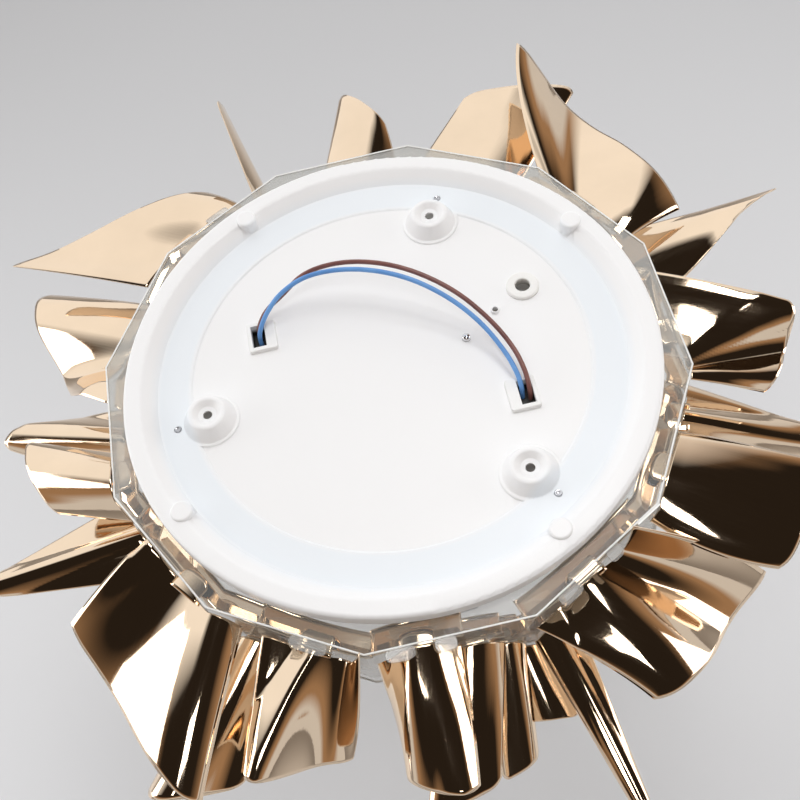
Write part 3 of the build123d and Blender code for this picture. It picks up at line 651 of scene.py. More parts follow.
def screw_mesh(name, head_radius, head_height, radius, pitch, head_end, tip_end):
    """Screw with a domed, recessed head and a rolled thread, its head at one height."""
    profile = [(share * head_radius, depth * head_height) for share, depth in SCREW_RECESS]
    profile += [(RECESS_EDGE[0] * head_radius, RECESS_EDGE[1])]
    profile += [(share * head_radius, depth * head_height) for share, depth in SCREW_HEAD]
    place = head_height
    length = abs(tip_end - head_end)
    while place < length - pitch:
        profile += [(radius * THREAD_ROOT, place), (radius, place + pitch / 2)]
        place += pitch
    chamfer, face, dimple = (share * radius for share in SCREW_TIP)
    profile += [(chamfer, length), (face, length), (0, length - dimple)]
    way = math.copysign(1, tip_end - head_end)
    profile = [(reach, head_end + way * depth) for reach, depth in profile]
    mesh = turned(name, profile, segments=24)
    mesh.set_sharp_from_angle(angle=math.radians(TRIM_CREASE))
    return mesh


def arc(centre, radius, start, end, steps):
    """Profile points on an arc, with angles in degrees."""
    angles = [start + (end - start) * step / steps for step in range(steps + 1)]
    points = [polar(radius, angle) for angle in angles]
    return [(centre[0] + point.x, centre[1] + point.y) for point in points]


def add_bevel(piece):
    """Rounds the sharp edges of a piece."""
    bevel = piece.modifiers.new("Edges", "BEVEL")
    bevel.width = EDGE_SOFT
    bevel.segments = 3
    bevel.limit_method = "ANGLE"
    bevel.angle_limit = math.radians(40)
    bevel.use_clamp_overlap = True


# Geometry nodes


def grow_tree(name, inputs):
    """Geometry node tree with named inputs after its starting mesh, and those inputs."""
    tree = bpy.data.node_groups.new(name, "GeometryNodeTree")
    sockets = tree.interface.new_socket
    sockets("Mesh", in_out="INPUT", socket_type="NodeSocketGeometry")
    for label, kind in inputs.items():
        sockets(label, in_out="INPUT", socket_type=f"NodeSocket{kind}")
    sockets("Mesh", in_out="OUTPUT", socket_type="NodeSocketGeometry")
    return tree, tree.nodes.new("NodeGroupInput").outputs


def moved(tree, geometry, **inputs):
    """Geometry that is moved or turned."""
    inputs = {"Geometry": geometry, **inputs}
    return add_node(tree, "GeometryNodeTransform", inputs).outputs[0]


def end_tree(tree, geometry, *finishes):
    """Ends a tree in real geometry with its finishes, each given with the faces that take it."""
    made = add_node(tree, "GeometryNodeRealizeInstances", {"Geometry": geometry})
    for finish, faces in finishes:
        inputs = {"Geometry": made.outputs[0], "Material": finish, "Selection": faces}
        made = add_node(tree, "GeometryNodeSetMaterial", inputs)
    add_node(tree, "NodeGroupOutput", {0: made.outputs[0]})
    return tree


def grown(name, mesh, tree, values):
    """Plain mesh that a tree makes of a starting mesh with these inputs."""
    mesh.materials.append(values["Finish"])
    host = link_object(name, mesh)
    modifier = host.modifiers.new(tree.name, "NODES")
    modifier.node_group = tree
    for socket in tree.interface.items_tree:
        if socket.in_out == "INPUT" and socket.name in values:
            modifier[socket.identifier] = values[socket.name]
    graph = bpy.context.evaluated_depsgraph_get()
    made = bpy.data.meshes.new_from_object(host.evaluated_get(graph))
    made.name = name
    if made.materials[0] is None:
        made.materials.pop(index=0)
    host.modifiers.clear()
    bpy.data.objects.remove(host)
    return made


def ring_tree():
    """Tree that sets out copies of a mesh evenly on a circle, each turned to face outward."""
    inputs = {"Count": "Int", "Orbit": "Float", "Start": "Float", "Finish": "Material"}
    tree, given = grow_tree("ring_of_pieces", inputs)
    index = tree.nodes.new("GeometryNodeInputIndex").outputs[0]
    step = number_of(tree, "DIVIDE", 2 * math.pi, given["Count"])
    angle = number_of(tree, "MULTIPLY_ADD", index, step, given["Start"])
    across = number_of(tree, "MULTIPLY", number_of(tree, "COSINE", angle), given["Orbit"])
    along = number_of(tree, "MULTIPLY", number_of(tree, "SINE", angle), given["Orbit"])
    places = {"Count": given["Count"], "Position": joined_axes(tree, X=across, Y=along)}
    points = add_node(tree, "GeometryNodePoints", places).outputs[0]
    turn = add_node(tree, "FunctionNodeEulerToRotation", {0: joined_axes(tree, Z=angle)})
    inputs = {"Points": points, "Instance": given["Mesh"], "Rotation": turn.outputs[0]}
    copies = add_node(tree, "GeometryNodeInstanceOnPoints", inputs)
    return end_tree(tree, copies.outputs[0], (given["Finish"], True))


def add_ring(name, mesh, count, orbit, start, slot, *nodes):
    """Piece made of equal copies of a mesh round the upright axis; the orbit is in millimetres."""
    values = {
        "Count": count,
        "Orbit": orbit * MM,
        "Start": math.radians(start),
        "Finish": finish_of(slot),
    }
    tree = bpy.data.node_groups.get("ring_of_pieces") or ring_tree()
    return add_piece(name, grown(name, mesh, tree, values), slot, *nodes)


def strip_tree():
    """Tree of the clear strip: bent to flats, lapped on one of them, with slots cut out."""
    inputs = {name: "Float" for name in ("Radius", "Wall", "Depth", "Top", "Lap width")}
    inputs |= {"Sides": "Int", "Lap place": "Vector", "Lap azimuth": "Float"}
    inputs |= {"Finish": "Material", "Edge finish": "Material"}
    tree, given = grow_tree("clear_strip", inputs)
    middle = number_of(tree, "MULTIPLY_ADD", given["Depth"], -0.5, given["Top"])
    level = joined_axes(tree, Z=middle)
    half_side = joined_axes(tree, Z=number_of(tree, "DIVIDE", math.pi, given["Sides"]))
    inputs = {"Resolution": given["Sides"], "Radius": given["Radius"]}
    circle = add_node(tree, "GeometryNodeCurvePrimitiveCircle", inputs)
    path = moved(tree, circle.outputs[0], Rotation=half_side, Translation=level)
    inputs = {"Width": given["Wall"], "Height": given["Depth"]}
    section = add_node(tree, "GeometryNodeCurvePrimitiveQuadrilateral", inputs)
    inputs = {"Curve": path, "Profile Curve": section.outputs[0]}
    wall = add_node(tree, "GeometryNodeCurveToMesh", inputs).outputs[0]
    inputs = {0: wall, 1: given["Mesh"]}
    slotted = add_node(tree, "GeometryNodeMeshBoolean", inputs, operation="DIFFERENCE")
    size = joined_axes(tree, X=given["Wall"], Y=given["Lap width"], Z=given["Depth"])
    lap = add_node(tree, "GeometryNodeMeshCube", {"Size": size}).outputs[0]
    lap = moved(tree, lap, Translation=vector_of(tree, "ADD", given["Lap place"], level))
    lap = moved(tree, lap, Rotation=joined_axes(tree, Z=given["Lap azimuth"]))
    whole = tree.nodes.new("GeometryNodeJoinGeometry")
    for piece in (lap, slotted.outputs[0]):
        tree.links.new(piece, whole.inputs[0])
    facing = tree.nodes.new("GeometryNodeInputNormal").outputs[0]
    place = tree.nodes.new("GeometryNodeInputPosition").outputs[0]
    outward = vector_of(tree, "NORMALIZE", flat_of(tree, place))
    along = number_of(tree, "ABSOLUTE", vector_of(tree, "DOT_PRODUCT", facing, outward))
    cut = number_of(tree, "LESS_THAN", along, EDGE_FACING)
    finishes = ((given["Finish"], True), (given["Edge finish"], cut))
    return end_tree(tree, whole.outputs[0], *finishes)


# Petals


def rounded(share, bow, sway):
    """Height of a bent cross-section at a share of its half width."""
    return bow * (1 - share**2) + SWAY_GAIN * sway * share * (1 - share**2)


def edge_curl(share):
    """How far the side edges have curled at a share of the half width, from 0 to 1."""
    return max(0, (abs(share) - CURL_START) / (1 - CURL_START)) ** 2


def faces_toward(azimuth):
    """Directions of the strip's flats that face the same way as an azimuth."""
    ahead = polar(1, azimuth)
    faces = [polar(1, side * 360 / BAND_SIDES) for side in range(BAND_SIDES)]
    return [face for face in faces if face.dot(ahead) > FACE_AHEAD]


def petal_ends(row, radius):
    """Root and tip of a petal with its root at a radius: centre, chord, normal, half width."""
    azimuth, height, half, tilt = row[:4]
    root = polar(radius, azimuth, height)
    lean = math.radians(tilt)
    chord = polar(1, azimuth + 90) * math.cos(lean) + Vector((0, 0, 1)) * math.sin(lean)
    half *= radius / REACH_BASE
    end_a, end_b = polar(*row[5]), polar(*row[6])
    axis = (end_a + end_b) / 2 - root
    found = []
    for side_a, side_b in ((root + chord * half, root - chord * half), (end_a, end_b)):
        across = side_b - side_a
        normal = axis.cross(across).normalized()
        if normal.z < 0:
            normal = -normal
        found.append(((side_a + side_b) / 2, across.normalized(), normal, across.length / 2))
    return found


def root_radius(row):
    """Radius at which the bent root of a petal just clears the flats of the strip."""
    centre, chord, normal, half = petal_ends(row, REACH_BASE)[0]
    ahead = polar(1, row[0])
    reaches = []
    for step in range(-BOW_STEPS, BOW_STEPS + 1):
        share = step / BOW_STEPS
        offset = chord * (half * share) + normal * rounded(share, row[4], 0)
        gaps = [
            (BAND_FLAT + ROOT_GAP - offset.dot(face)) / face.dot(ahead)
            for face in faces_toward(row[0])
        ]
        reaches.append(min(gaps))
    return max(reaches)


def between(heights, share):
    """Height at a share of the half width on a curve through evenly spaced heights."""
    last = len(heights) - 1
    place = (share + 1) / 2 * last
    k = min(int(place), last - 1)
    before, here = heights[max(k - 1, 0)], heights[k]
    there, after = heights[k + 1], heights[min(k + 2, last)]
    t = place - k
    bend = 2 * before - 5 * here + 4 * there - after
    twist = 3 * (here - there) + after - before
    return here + t / 2 * (there - before + t * (bend + t * twist))


def tip_height(row, share):
    """Height of the tip's cross-section, carried on in a straight line beyond its ends."""
    if abs(share) > 1:
        end = math.copysign(1, share)
        rise = tip_height(row, end) - tip_height(row, end * SLOPE_START)
        slope = rise / (1 - SLOPE_START)
        return tip_height(row, end) + slope * min(abs(share) - 1, SLOPE_REACH)
    if len(row) > 13:
        return between(row[13], share)
    depth, count, start = row[10][:3]
    fold = depth * math.sin(math.pi * count * share + 2 * math.pi * start)
    return rounded(share, row[7], row[8]) + fold


def film_point(row, ends, share, along):
    """Point of a petal: its folds are cones round a point at or behind its root."""
    curl = row[10][3]
    edge_a, edge_b, crown = row[11]
    apex, behind = row[12]
    (root, chord, up, half), (tip, tip_chord, tip_up, tip_half) = ends
    first = root + chord * (half * share)
    last = tip + tip_chord * (tip_half * share)
    length = (tip - root).length
    cone = (along * length + behind) / (length + behind)
    across = share * (half * (1 - along) + tip_half * along)
    far = (apex * half + (across - apex * half) / cone) / tip_half
    height = cone * tip_height(row, far) + row[4] * (1 - share**2) * (1 - along)
    swell = 4 * along * (1 - along)
    height += row[9] * swell
    height -= curl * (ROOT_CURL + (1 - ROOT_CURL) * along) * edge_curl(share)
    side = edge_b * max(0, share) ** 2 - edge_a * max(0, -share) ** 2
    point = first.lerp(last, along) + tip_chord * (side * swell)
    point += up.lerp(tip_up, along).normalized() * height
    return point + (last - first).normalized() * (crown * (1 - share**2) * along**2)


def wall_distance(point, heading, azimuth):
    """Distance from a point along a heading to the outside of the strip."""
    reach = 0
    for face in faces_toward(azimuth):
        closing = -heading.dot(face)
        if closing > FACE_CLOSING:
            reach = max(reach, (point.dot(face) - BAND_FLAT - WALL_GAP) / closing)
    return min(reach, APRON_LIMIT)


def tongue_shares(row):
    """Shares of the root's half width between which the tongue lies."""
    azimuth, half = row[0], row[2]
    facet = 360 / BAND_SIDES
    middle = facet * round(azimuth / facet)
    wanted = min(max(azimuth, middle - FACET_KEEP), middle + FACET_KEEP)
    shift = -math.radians(wanted - azimuth) * REACH_BASE / half
    wide = half * root_radius(row) / REACH_BASE
    reach = min(TONGUE_HALF, TONGUE_SHARE * wide) / wide
    return shift - reach, shift + reach


def sheet_points(row, ends, number, settings):
    """Grid of a petal's sheet from the wall of the strip to the tip, with its pattern places."""
    across, onward, apart = RIPPLES
    for j in range(-APRON_ROWS, settings.rows + 1):
        for i in range(settings.columns + 1):
            share = 2 * i / settings.columns - 1
            if j < 0:
                first = film_point(row, ends, share, 0)
                heading = (first - film_point(row, ends, share, 0.1)).normalized()
                depth = wall_distance(first, heading, row[0]) * -j / APRON_ROWS
                yield first + heading * depth, (i / settings.columns, 0)
                continue
            along = j / settings.rows * (1 - settings.corner * abs(share) ** CORNER_POWER)
            point = film_point(row, ends, share, along)
            wave = noise.noise(Vector((share * across, along * onward, number * apart)))
            point += ends[1][2] * (wave * settings.ripple / MM * along)
            yield point, (i / settings.columns, along)


def tongue_points(row, ends, radius, steps):
    """Grid of a petal's tongue, which has a rounded nose."""
    start, end = tongue_shares(row)
    centre, chord, up, half = ends[0]
    for j in range(TONGUE_ROWS + 1):
        for i in range(steps + 1):
            side = 2 * i / steps - 1
            share = start + (end - start) * i / steps
            depth = (radius - TONGUE_TIP) * j / TONGUE_ROWS * (1 - TONGUE_NOSE * side**4)
            point = centre + chord * (half * share) + up * rounded(share, row[4], 0)
            yield point + polar(-1, row[0]) * depth, (i / steps, 0)


def flap_points(row, ends, number, columns):
    """Grid of the flap of film that lies inside the strip."""
    centre, chord, up, half = ends[0]
    for j in range(TONGUE_ROWS + 1):
        for i in range(columns + 1):
            share = FLAP_SHARE * (2 * i / columns - 1)
            height = rounded(share, row[4], 0) + FLAP_STEP * (number % 3) + FLAP_LIFTS[j]
            first = centre + chord * (half * share) + up * height
            nearest = max(first.dot(face) for face in faces_toward(row[0]))
            slide = nearest - BAND_FLAT + FLAP_FLAT - FLAP_START
            slide += (FLAP_START - FLAP_TIP) * j / TONGUE_ROWS
            yield first + polar(-1, row[0]) * slide, (i / columns, FLAP_PATTERN * j / TONGUE_ROWS)


def grid_faces(base, columns, rows):
    """Faces of a grid of points, from a first index on."""
    starts = [base + j * (columns + 1) + i for j in range(rows) for i in range(columns)]
    return [(here, here + 1, here + columns + 2, here + columns + 1) for here in starts]


def petal_mesh(name, number, row, settings):
    """Open sheet of a petal with its tongue and flap; its UV runs across and along it."""
    radius = root_radius(row)
    ends = petal_ends(row, radius)
    columns = settings.columns
    points = list(sheet_points(row, ends, number, settings))
    faces = grid_faces(0, columns, settings.rows + APRON_ROWS)
    steps = max(4, columns // 4)
    inner = [face[:1] + face[:0:-1] for face in grid_faces(len(points), steps, TONGUE_ROWS)]
    points += tongue_points(row, ends, radius, steps)
    if abs(row[3]) < FLAP_TILT:
        flap = grid_faces(len(points), columns, TONGUE_ROWS)
        inner += [face[:1] + face[:0:-1] for face in flap]
        points += flap_points(row, ends, number, columns)
    mesh = bpy.data.meshes.new(name)
    mesh.from_pydata([point * MM for point, place in points], [], faces + inner)
    layer = mesh.uv_layers.new(name="petal")
    for loop in mesh.loops:
        layer.data[loop.index].uv = points[loop.vertex_index][1]
    for polygon in mesh.polygons:
        polygon.use_smooth = True
    return mesh


# Settings


class StageSettings(bpy.types.PropertyGroup):
    floor_drop: bpy.props.FloatProperty(
        name="Floor drop",
        description="Height of the ceiling plane above the floor",
        default=0.5,
        unit="LENGTH",
    )
    floor_colour: bpy.props.FloatVectorProperty(
        name="Floor colour",
        description="Colour of the plain floor",
        default=(0.735, 0.745, 0.765),
        subtype="COLOR",
        min=0,
        max=1,
    )
    lamp_level: bpy.props.FloatProperty(
        name="Lamp level",
        description="Gain of every lamp of the studio",
        default=1.0,
        min=0,
    )


class WireSettings(bpy.types.PropertyGroup):
    diameter: bpy.props.FloatProperty(
        name="Diameter",
        description="Outside diameter of the insulated wires",
        default=0.00275,
        unit="LENGTH",
        precision=5,
    )


class PlateSettings(bpy.types.PropertyGroup):
    paint: bpy.props.FloatVectorProperty(
        name="Paint",
        description="Colour of the white coat",
        default=(0.9, 0.9, 0.905),
        subtype="COLOR",
        min=0,
        max=1,
    )
    # painted cool reflection on the ring round the disc, not a colour of the coat
    ring_painted_light: bpy.props.FloatVectorProperty(
        name="Ring paint",
        description="Cooler white of the ring round the disc",
        default=(0.84, 0.88, 0.92),
        subtype="COLOR",
        min=0,
        max=1,
    )


class BandSettings(bpy.types.PropertyGroup):
    wall: bpy.props.FloatProperty(
        name="Wall",
        description="Thickness of the clear strip",
        default=0.001,
        unit="LENGTH",
        precision=5,
    )
    sheen: bpy.props.FloatProperty(
        name="Sheen",
        description="How early the clear sheet starts to reflect as it turns away",
        default=0.45,
        min=0,
        max=1,
    )
    haze: bpy.props.FloatProperty(
        name="Haze",
        description="Share of the clear sheet that shows its own surface when seen straight on",
        default=0.05,
        min=0,
        max=1,
        subtype="FACTOR",
    )


class PetalSettings(bpy.types.PropertyGroup):
    film: bpy.props.FloatProperty(
        name="Film",
        description="Thickness of the petal film",
        default=0.0006,
        unit="LENGTH",
        precision=5,
    )
    tint: bpy.props.FloatVectorProperty(
        name="Tint",
        description="Colour of the mirror",
        default=(0.95, 0.75, 0.55),
        subtype="COLOR",
        min=0,
        max=1,
    )
    ripple: bpy.props.FloatProperty(
        name="Ripple",
        description="Height of the slow waves in the film",
        default=0.0006,
        unit="LENGTH",
        precision=5,
    )
    streak_depth: bpy.props.FloatProperty(
        name="Streak depth",
        description="Depth of the fine streaks along each petal",
        default=0.00001,
        unit="LENGTH",
        precision=6,
    )
    corner: bpy.props.FloatProperty(
        name="Corner",
        description="Share of the length that is rounded off at the tip's corners",
        default=0.05,
        min=0,
        max=0.5,
        subtype="FACTOR",
    )
    columns: bpy.props.IntProperty(
        name="Columns", description="Faces across a petal", default=40, min=8
    )
    rows: bpy.props.IntProperty(
        name="Rows", description="Faces along a petal", default=32, min=8
    )


# Operators


class StageOperator(bpy.types.Operator):
    """Sets the camera, the floor, the studio walls and the lamps"""

    bl_idname = "ceiling_light.stage"
    bl_label = "Stage"

    def execute(self, context):
        settings = context.scene.light_stage
        self.add_camera(context)
        self.add_floor(settings)
        for lamp in LAMPS:
            self.add_lamp(settings, *lamp)
        self.add_lamp(settings, *FILL).visible_glossy = False
        self.add_walls(context)
        context.scene.view_settings.view_transform = "Standard"
        return {"FINISHED"}

    def add_camera(self, context):
        """Camera at the photograph's place, turned and rolled as it was."""
        camera = link_object("photo_camera", bpy.data.cameras.new("photo_camera"))
        camera.data.sensor_width = SENSOR_WIDTH
        camera.data.lens = SENSOR_WIDTH * FOCAL_PIXELS / IMAGE_SIDE
        place = Vector(CAMERA_PLACE)
        forward = (Vector(CAMERA_TARGET) - place).normalized()
        level = forward.cross(Vector((0, 0, 1))).normalized()
        upright = level.cross(forward)
        roll = math.radians(CAMERA_ROLL)
        right = level * math.cos(roll) + upright * math.sin(roll)
        up = upright * math.cos(roll) - level * math.sin(roll)
        turn = Matrix((right, up, -forward)).transposed().to_4x4()
        camera.matrix_world = Matrix.Translation(place) @ turn
        context.scene.camera = camera

    def add_floor(self, settings):
        """Plain pale floor with a faint cloudiness."""
        far, level = FLOOR_SIDE, -settings.floor_drop
        corners = [(-far, -far, level), (far, -far, level), (far, far, level), (-far, far, level)]
        mesh = bpy.data.meshes.new("floor")
        mesh.from_pydata(corners, [], [(0, 1, 2, 3)])
        colour = tuple(settings.floor_colour)
        paler = tuple(min(1, channel * FLOOR_CLOUDING) for channel in colour)
        mesh.materials.append(plain_finish("floor", colour, paler, *FLOOR_FINISH))
        link_object("floor", mesh)

    def add_lamp(self, settings, name, place, size, brightness):
        """Softbox at a place, which faces the plate."""
        data = bpy.data.lights.new(name, "AREA")
        data.shape = "RECTANGLE"
        data.size, data.size_y = size
        data.energy = brightness * settings.lamp_level * math.pi * size[0] * size[1]
        lamp = link_object(name, data)
        lamp.location = place
        lamp.rotation_euler = (-Vector(place)).to_track_quat("-Z", "Y").to_euler()
        return lamp

    def add_walls(self, context):
        """World: pale studio walls low down, a warm band, a dark ceiling and a tall rear wall."""
        world = bpy.data.worlds.new("studio")
        context.scene.world = world
        world.use_nodes = True
        tree = world.node_tree
        tree.nodes.clear()
        direction = add_node(tree, "ShaderNodeTexCoord").outputs["Generated"]
        height = height_of(tree, direction)
        walls = blend_colours(tree, height, WALL_COLOUR, WARM_COLOUR, *WALL_FADE)
        high = spread(tree, height, 0, 1, *WARM_FADE)
        walls = mixed_colour(tree, high, walls, (*DARK_COLOUR, 1))
        heading = vector_of(tree, "NORMALIZE", flat_of(tree, direction))
        toward = vector_of(tree, "DOT_PRODUCT", heading, polar(1, REAR_AZIMUTH))
        rear = spread(tree, toward, 0, 1, *REAR_SPAN)
        below = spread(tree, height, 1, 0, *REAR_FADE)
        share = number_of(tree, "MULTIPLY", rear, below)
        walls = mixed_colour(tree, share, walls, (*REAR_COLOUR, 1))
        back = add_node(tree, "ShaderNodeBackground", {"Color": walls})
        add_node(tree, "ShaderNodeOutputWorld", {"Surface": back.outputs[0]})


class WiresOperator(bpy.types.Operator):
    """Lays the blue and the brown wire from one cable frame to the other"""

    bl_idname = "ceiling_light.wires"
    bl_label = "Wires"

    def execute(self, context):
        diameter = context.scene.light_wires.diameter
        for name, node, slot, route, length in (
            ("blue_wire", "wire_blue", "blue_insulation", BLUE_ROUTE, BLUE_LENGTH),
            ("brown_wire", "wire_brown", "brown_insulation", BROWN_ROUTE, BROWN_LENGTH),
        ):
            curve = bpy.data.curves.new(name, "CURVE")
            curve.dimensions = "3D"
            spline = curve.splines.new("NURBS")
            spline.points.add(len(route) - 1)
            for point, place in zip(spline.points, route):
                point.co = (*place, 1)
            spline.order_u = 3
            spline.use_endpoint_u = True
            spline.resolution_u = 12
            curve.bevel_depth = diameter / 2
            curve.bevel_resolution = 6
            curve.use_fill_caps = True
            curve.materials.append(finish_of(slot))
            wire = link_object(name, curve)
            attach(wire, BODY)
            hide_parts(node)
            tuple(route[0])
        return {"FINISHED"}


class PlateOperator(bpy.types.Operator):
    """Makes the pressed ceiling plate"""

    bl_idname = "ceiling_light.plate"
    bl_label = "Ceiling plate"

    def execute(self, context):
        smooth_copy("base_plate", "ceiling_plate", "plate_paint")
        return {"FINISHED"}


class FittingsOperator(bpy.types.Operator):
    """Makes the grommet, the earth stud and the cable frames"""

    bl_idname = "ceiling_light.fittings"
    bl_label = "Fittings"

    def execute(self, context):
        self.add_grommet()
        self.add_stud()
        for side in ("left", "right"):
            add_bevel(smooth_copy(f"cable_frame_{side}", f"frame_{side}", "white_plastic"))
        return {"FINISHED"}

    def add_grommet(self):
        """Soft ring with a lip above and below the plate, rounded on top."""
        inner, outer = GROMMET_ROUNDS
        lower, upper = GROMMET_LIPS
        below = DISC_TOP - SHEET
        profile = [(GROMMET_BORE, GROMMET_FOOT), (GROMMET_BORE, GROMMET_TOP - inner)]
        profile += arc((GROMMET_BORE + inner, GROMMET_TOP - inner), inner, 180, 90, steps=5)
        profile += arc((upper - outer, GROMMET_TOP - outer), outer, 90, 0, steps=6)
        profile += [(upper, DISC_TOP), (GROMMET_NECK, DISC_TOP), (GROMMET_NECK, below)]
        profile += [(lower, below), (lower, GROMMET_FOOT), (GROMMET_BORE, GROMMET_FOOT)]
        mesh = turned("grommet", profile, segments=64, centre=GROMMET_PLACE)
        add_piece("grommet", mesh, "white_rubber", "cable_grommet")

    def add_stud(self):
        """Domed head on a shank with rolled thread rings."""
        brim = DISC_TOP + STUD_BRIM
        profile = [(0, brim + STUD_DOME)]
        for angle in range(80, -1, -10):
            way = polar(1, angle)
            profile.append((STUD_HEAD * way.x, brim + STUD_DOME * way.y))
        profile += [(STUD_HEAD, DISC_TOP), (STUD_RADIUS, DISC_TOP)]
        height = DISC_TOP - SHEET
        while height > DISC_TOP - STUD_THREAD:
            profile += [(STUD_RADIUS, height), (STUD_ROOT, height - STUD_PITCH / 2)]
            height -= STUD_PITCH
        profile += [(STUD_TIP, DISC_TOP - STUD_LENGTH), (0, DISC_TOP - STUD_LENGTH)]
        mesh = turned("stud", profile, segments=48, centre=STUD_PLACE)
        add_piece("stud", mesh, "bright_metal", "earth_stud")


class BandOperator(bpy.types.Operator):
    """Makes the clear ring, and the slotted clear strip with its tabs, that carry the petals"""

    bl_idname = "ceiling_light.band"
    bl_label = "Clear band"

    def execute(self, context):
        settings = context.scene.light_band
        smooth_copy("frame_ring", "clear_ring", "clear_film", RING_CREASE)
        low, high = heights_of("petal_frame")
        side = 2 * BAND_RADIUS * math.sin(math.pi / BAND_SIDES)
        wall = settings.wall / MM
        values = {
            "Sides": BAND_SIDES,
            "Radius": (BAND_RADIUS - wall / 2) * MM,
            "Wall": settings.wall,
            "Depth": (high - low) * MM,
            "Top": high * MM,
            "Lap width": LAP_WIDTH * MM,
            "Lap place": mm(BAND_FLAT + wall * LAP_STEP, (side - LAP_WIDTH) / 2, 0),
            "Lap azimuth": math.radians(LAP_AZIMUTH),
            "Finish": finish_of("clear_film"),
            "Edge finish": finish_of("clear_edge"),
        }
        mesh = grown("clear_strip", self.slots(), strip_tree(), values)
        add_piece("clear_strip", mesh, "clear_film", "petal_frame")
        self.add_tabs(high)
        return {"FINISHED"}

    def add_tabs(self, top):
        """Rounded clear tabs that lean outward and down from the strip's upper edge."""
        vertices = []
        faces = []
        for azimuth, length in EDGE_TABS:
            facet = round(azimuth * BAND_SIDES / 360) * 360 / BAND_SIDES
            offset = BAND_FLAT * math.tan(math.radians(azimuth - facet))
            outward, along = polar(1, facet), polar(1, facet + 90)
            faces += tube_faces(len(vertices), 2, TAB_TURNS)
            for rise in (0, TAB_WALL):
                for turn in range(TAB_TURNS):
                    way = polar(1, 360 * turn / TAB_TURNS)
                    side, reach = (math.copysign(abs(x) ** TAB_ROUND, x) for x in way[:2])
                    reach = (1 + reach) / 2
                    place = outward * (BAND_FLAT - TAB_INSET + TAB_DEPTH * reach)
                    place += along * (offset + side * length / 2)
                    place.z = top - TAB_START - TAB_DROP * reach**2 + rise
                    vertices.append(place * MM)
        mesh = mesh_of("edge_tabs", vertices, faces)
        mesh.set_sharp_from_angle(angle=math.radians(TRIM_CREASE))
        mesh.materials.append(finish_of("clear_tab"))
        add_bevel(add_piece("edge_tabs", mesh, "clear_film", "petal_frame"))

    def slots(self):
        """Boxes where the petals' tongues pass through the strip."""
        vertices = []
        faces = []
        for row in PETAL_ROWS:
            radius = root_radius(row)
            centre, chord, up, half = petal_ends(row, radius)[0]
            start, end = tongue_shares(row)
            inward = polar(-1, row[0]) * (radius - TONGUE_TIP)
            shares = [start + (end - start) * k / BOW_STEPS for k in range(BOW_STEPS + 1)]
            heights = [rounded(share, row[4], 0) for share in shares]
            faces += [[len(vertices) + k for k in face] for face in BOX_FACES]
            for depth in (0, 1):
                for share, gap in ((start, -SLOT_PLAY), (end, SLOT_PLAY)):
                    for height in (min(heights) - SLOT_PLAY, max(heights) + SLOT_PLAY):
                        corner = centre + chord * (half * share + gap) + up * height
                        vertices.append((corner + inward * depth) * MM)
        return mesh_of("slots", vertices, faces)


class PetalsOperator(bpy.types.Operator):
    """Makes the mirror petals, each plugged into the band by its tongue"""

    bl_idname = "ceiling_light.petals"
    bl_label = "Petals"

    def execute(self, context):
        settings = context.scene.light_petals
        for number, row in enumerate(PETAL_ROWS, start=1):
            name = f"film_petal_{number:02d}"
            mesh = petal_mesh(name, number, row, settings)
            mesh.materials.append(finish_of("rose_gold_film"))
            mesh.materials.append(finish_of("film_edge"))
            piece = add_piece(name, mesh, "rose_gold_film", f"petal_{number:02d}")
            shell = piece.modifiers.new("Film", "SOLIDIFY")
            shell.thickness = settings.film
            shell.offset = 0
            shell.use_rim = True
            shell.material_offset_rim = 1
        return {"FINISHED"}


class BowlOperator(bpy.types.Operator):
    """Makes the opal bowl"""

    bl_idname = "ceiling_light.bowl"
    bl_label = "Opal bowl"

    def execute(self, context):
        smooth_copy("diffuser", "bowl", "opal_bowl")
        return {"FINISHED"}


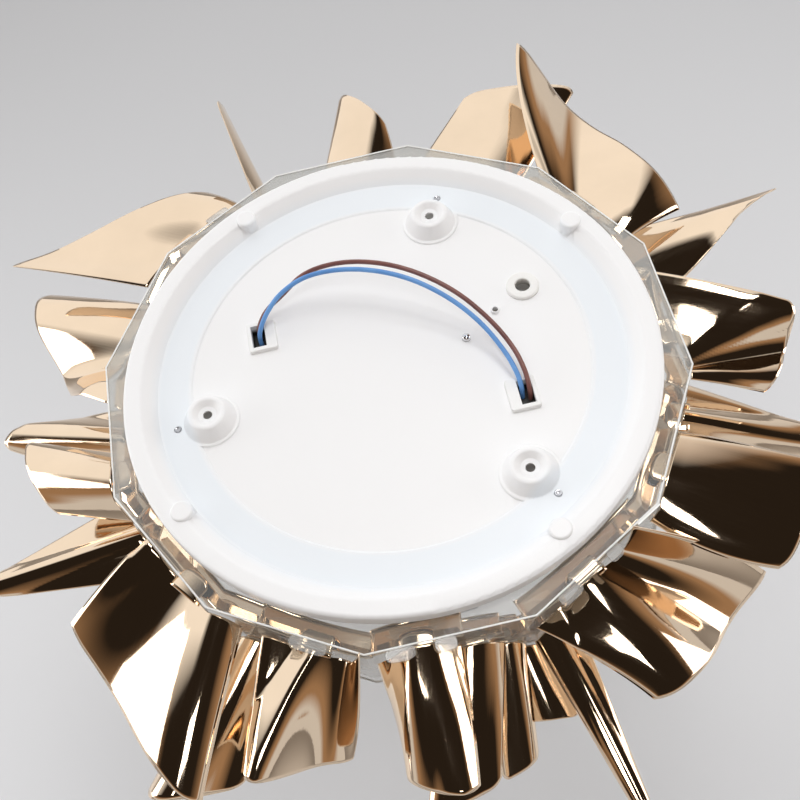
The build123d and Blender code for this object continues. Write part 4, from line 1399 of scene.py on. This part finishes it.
class WorksOperator(bpy.types.Operator):
    """Makes the screws, spacers, LEDs and clips, and finishes the pieces inside the light"""

    bl_idname = "ceiling_light.works"
    bl_label = "Inner works"

    def execute(self, context):
        for screw in SCREWS:
            self.add_screws(*screw)
        self.add_spacers()
        self.add_leds()
        self.add_clips()
        slots = {part["node"]: part["material_slot"] for part in frame["record"]["subparts"]}
        for name, node in frame["nodes"].items():
            if node.hide_render:
                continue
            for place in node.material_slots:
                place.link = "OBJECT"
                place.material = finish_of(slots[name])
        return {"FINISHED"}

    def add_screws(self, name, node, sizes, ring, head_up):
        """Equal screws on a circle, between the ends of their node."""
        low, high = heights_of(node)
        ends = (high, low) if head_up else (low, high)
        add_ring(name, screw_mesh(node, *sizes, *ends), *ring, "zinc_steel", node)

    def add_spacers(self):
        """Spacer tubes round the long screws."""
        low, high = heights_of("spacers")
        edge = SPACER_RADIUS - SPACER_CHAMFER
        profile = [(SPACER_BORE, low), (edge, low), (SPACER_RADIUS, low + SPACER_CHAMFER)]
        profile += [(SPACER_RADIUS, high - SPACER_CHAMFER), (edge, high)]
        profile += [(SPACER_BORE, high), (SPACER_BORE, low)]
        mesh = turned("spacer", profile, segments=32)
        add_ring("spacer_tubes", mesh, *CARRIER_RING, "zinc_steel", "spacers")

    def add_leds(self):
        """LED packages: a pale case round a domed patch of phosphor, on two circles."""
        low, high = heights_of("leds")
        outlines = [(*LED_OUTLINES[0][:2], high)]
        outlines += [(x, y, low + rise) for x, y, rise in LED_OUTLINES]
        vertices = []
        for half_x, half_y, height in outlines:
            for turn in range(LED_TURNS):
                way = polar(1, 360 * (turn + 0.5) / LED_TURNS)
                way /= max(abs(way.x), abs(way.y)) ** LED_SQUARENESS
                vertices.append(mm(half_x * way.x, half_y * way.y, height))
        faces = tube_faces(0, len(outlines), LED_TURNS)
        for name, count, orbit in LED_RINGS:
            mesh = mesh_of(name, vertices, faces)
            mesh.set_sharp_from_angle(angle=math.radians(LED_CREASE))
            add_ring(name, mesh, count, orbit, 0, "led_phosphor", "leds")

    def add_clips(self):
        """Sprung clips that hold the bowl against the tray."""
        low, high = heights_of("diffuser_clips")
        inside, outside = CLIP_FACE, CLIP_FACE + CLIP_METAL
        foot, head = CLIP_ENDS
        outline = [(head, high - CLIP_METAL), (inside, high - CLIP_METAL)]
        outline += [(inside, low + CLIP_METAL), (foot, low + CLIP_METAL), (foot, low)]
        outline += [(outside, low), (outside, high), (head, high)]
        vertices = [mm(x, y, z) for y in (-CLIP_HALF, CLIP_HALF) for x, z in outline]
        mesh = mesh_of("clip", vertices, tube_faces(0, 2, len(outline)))
        for polygon in mesh.polygons:
            polygon.use_smooth = False
        piece = add_ring("bowl_clips", mesh, *CLIP_RING, "zinc_steel", "diffuser_clips")
        add_bevel(piece)


class LightPanel(bpy.types.Panel):
    """Steps and settings of the ceiling light"""

    bl_idname = "VIEW3D_PT_ceiling_light"
    bl_label = "Ceiling light"
    bl_space_type = "VIEW_3D"
    bl_region_type = "UI"
    bl_category = "Ceiling light"

    def draw(self, context):
        for operator in OPERATORS:
            self.layout.operator(operator.bl_idname)
        for key, group in SETTINGS.items():
            box = self.layout.box()
            for prop in group.__annotations__:
                box.prop(getattr(context.scene, key), prop)


SETTINGS = {
    "light_stage": StageSettings,
    "light_wires": WireSettings,
    "light_plate": PlateSettings,
    "light_band": BandSettings,
    "light_petals": PetalSettings,
}
OPERATORS = (
    StageOperator,
    WiresOperator,
    PlateOperator,
    FittingsOperator,
    BandOperator,
    PetalsOperator,
    BowlOperator,
    WorksOperator,
)


def register():
    for group in SETTINGS.values():
        bpy.utils.register_class(group)
    for operator in OPERATORS:
        bpy.utils.register_class(operator)
    bpy.utils.register_class(LightPanel)
    for key, group in SETTINGS.items():
        setattr(bpy.types.Scene, key, bpy.props.PointerProperty(type=group))


def unregister():
    for key in SETTINGS:
        delattr(bpy.types.Scene, key)
    bpy.utils.unregister_class(LightPanel)
    for operator in reversed(OPERATORS):
        bpy.utils.unregister_class(operator)
    for group in reversed(SETTINGS.values()):
        bpy.utils.unregister_class(group)


def main():
    register()
    bpy.ops.ceiling_light.stage()
    bpy.ops.ceiling_light.wires()
    bpy.ops.ceiling_light.plate()
    bpy.ops.ceiling_light.fittings()
    bpy.ops.ceiling_light.band()
    bpy.ops.ceiling_light.petals()
    bpy.ops.ceiling_light.bowl()
    bpy.ops.ceiling_light.works()


if __name__ == "__main__":
    main()
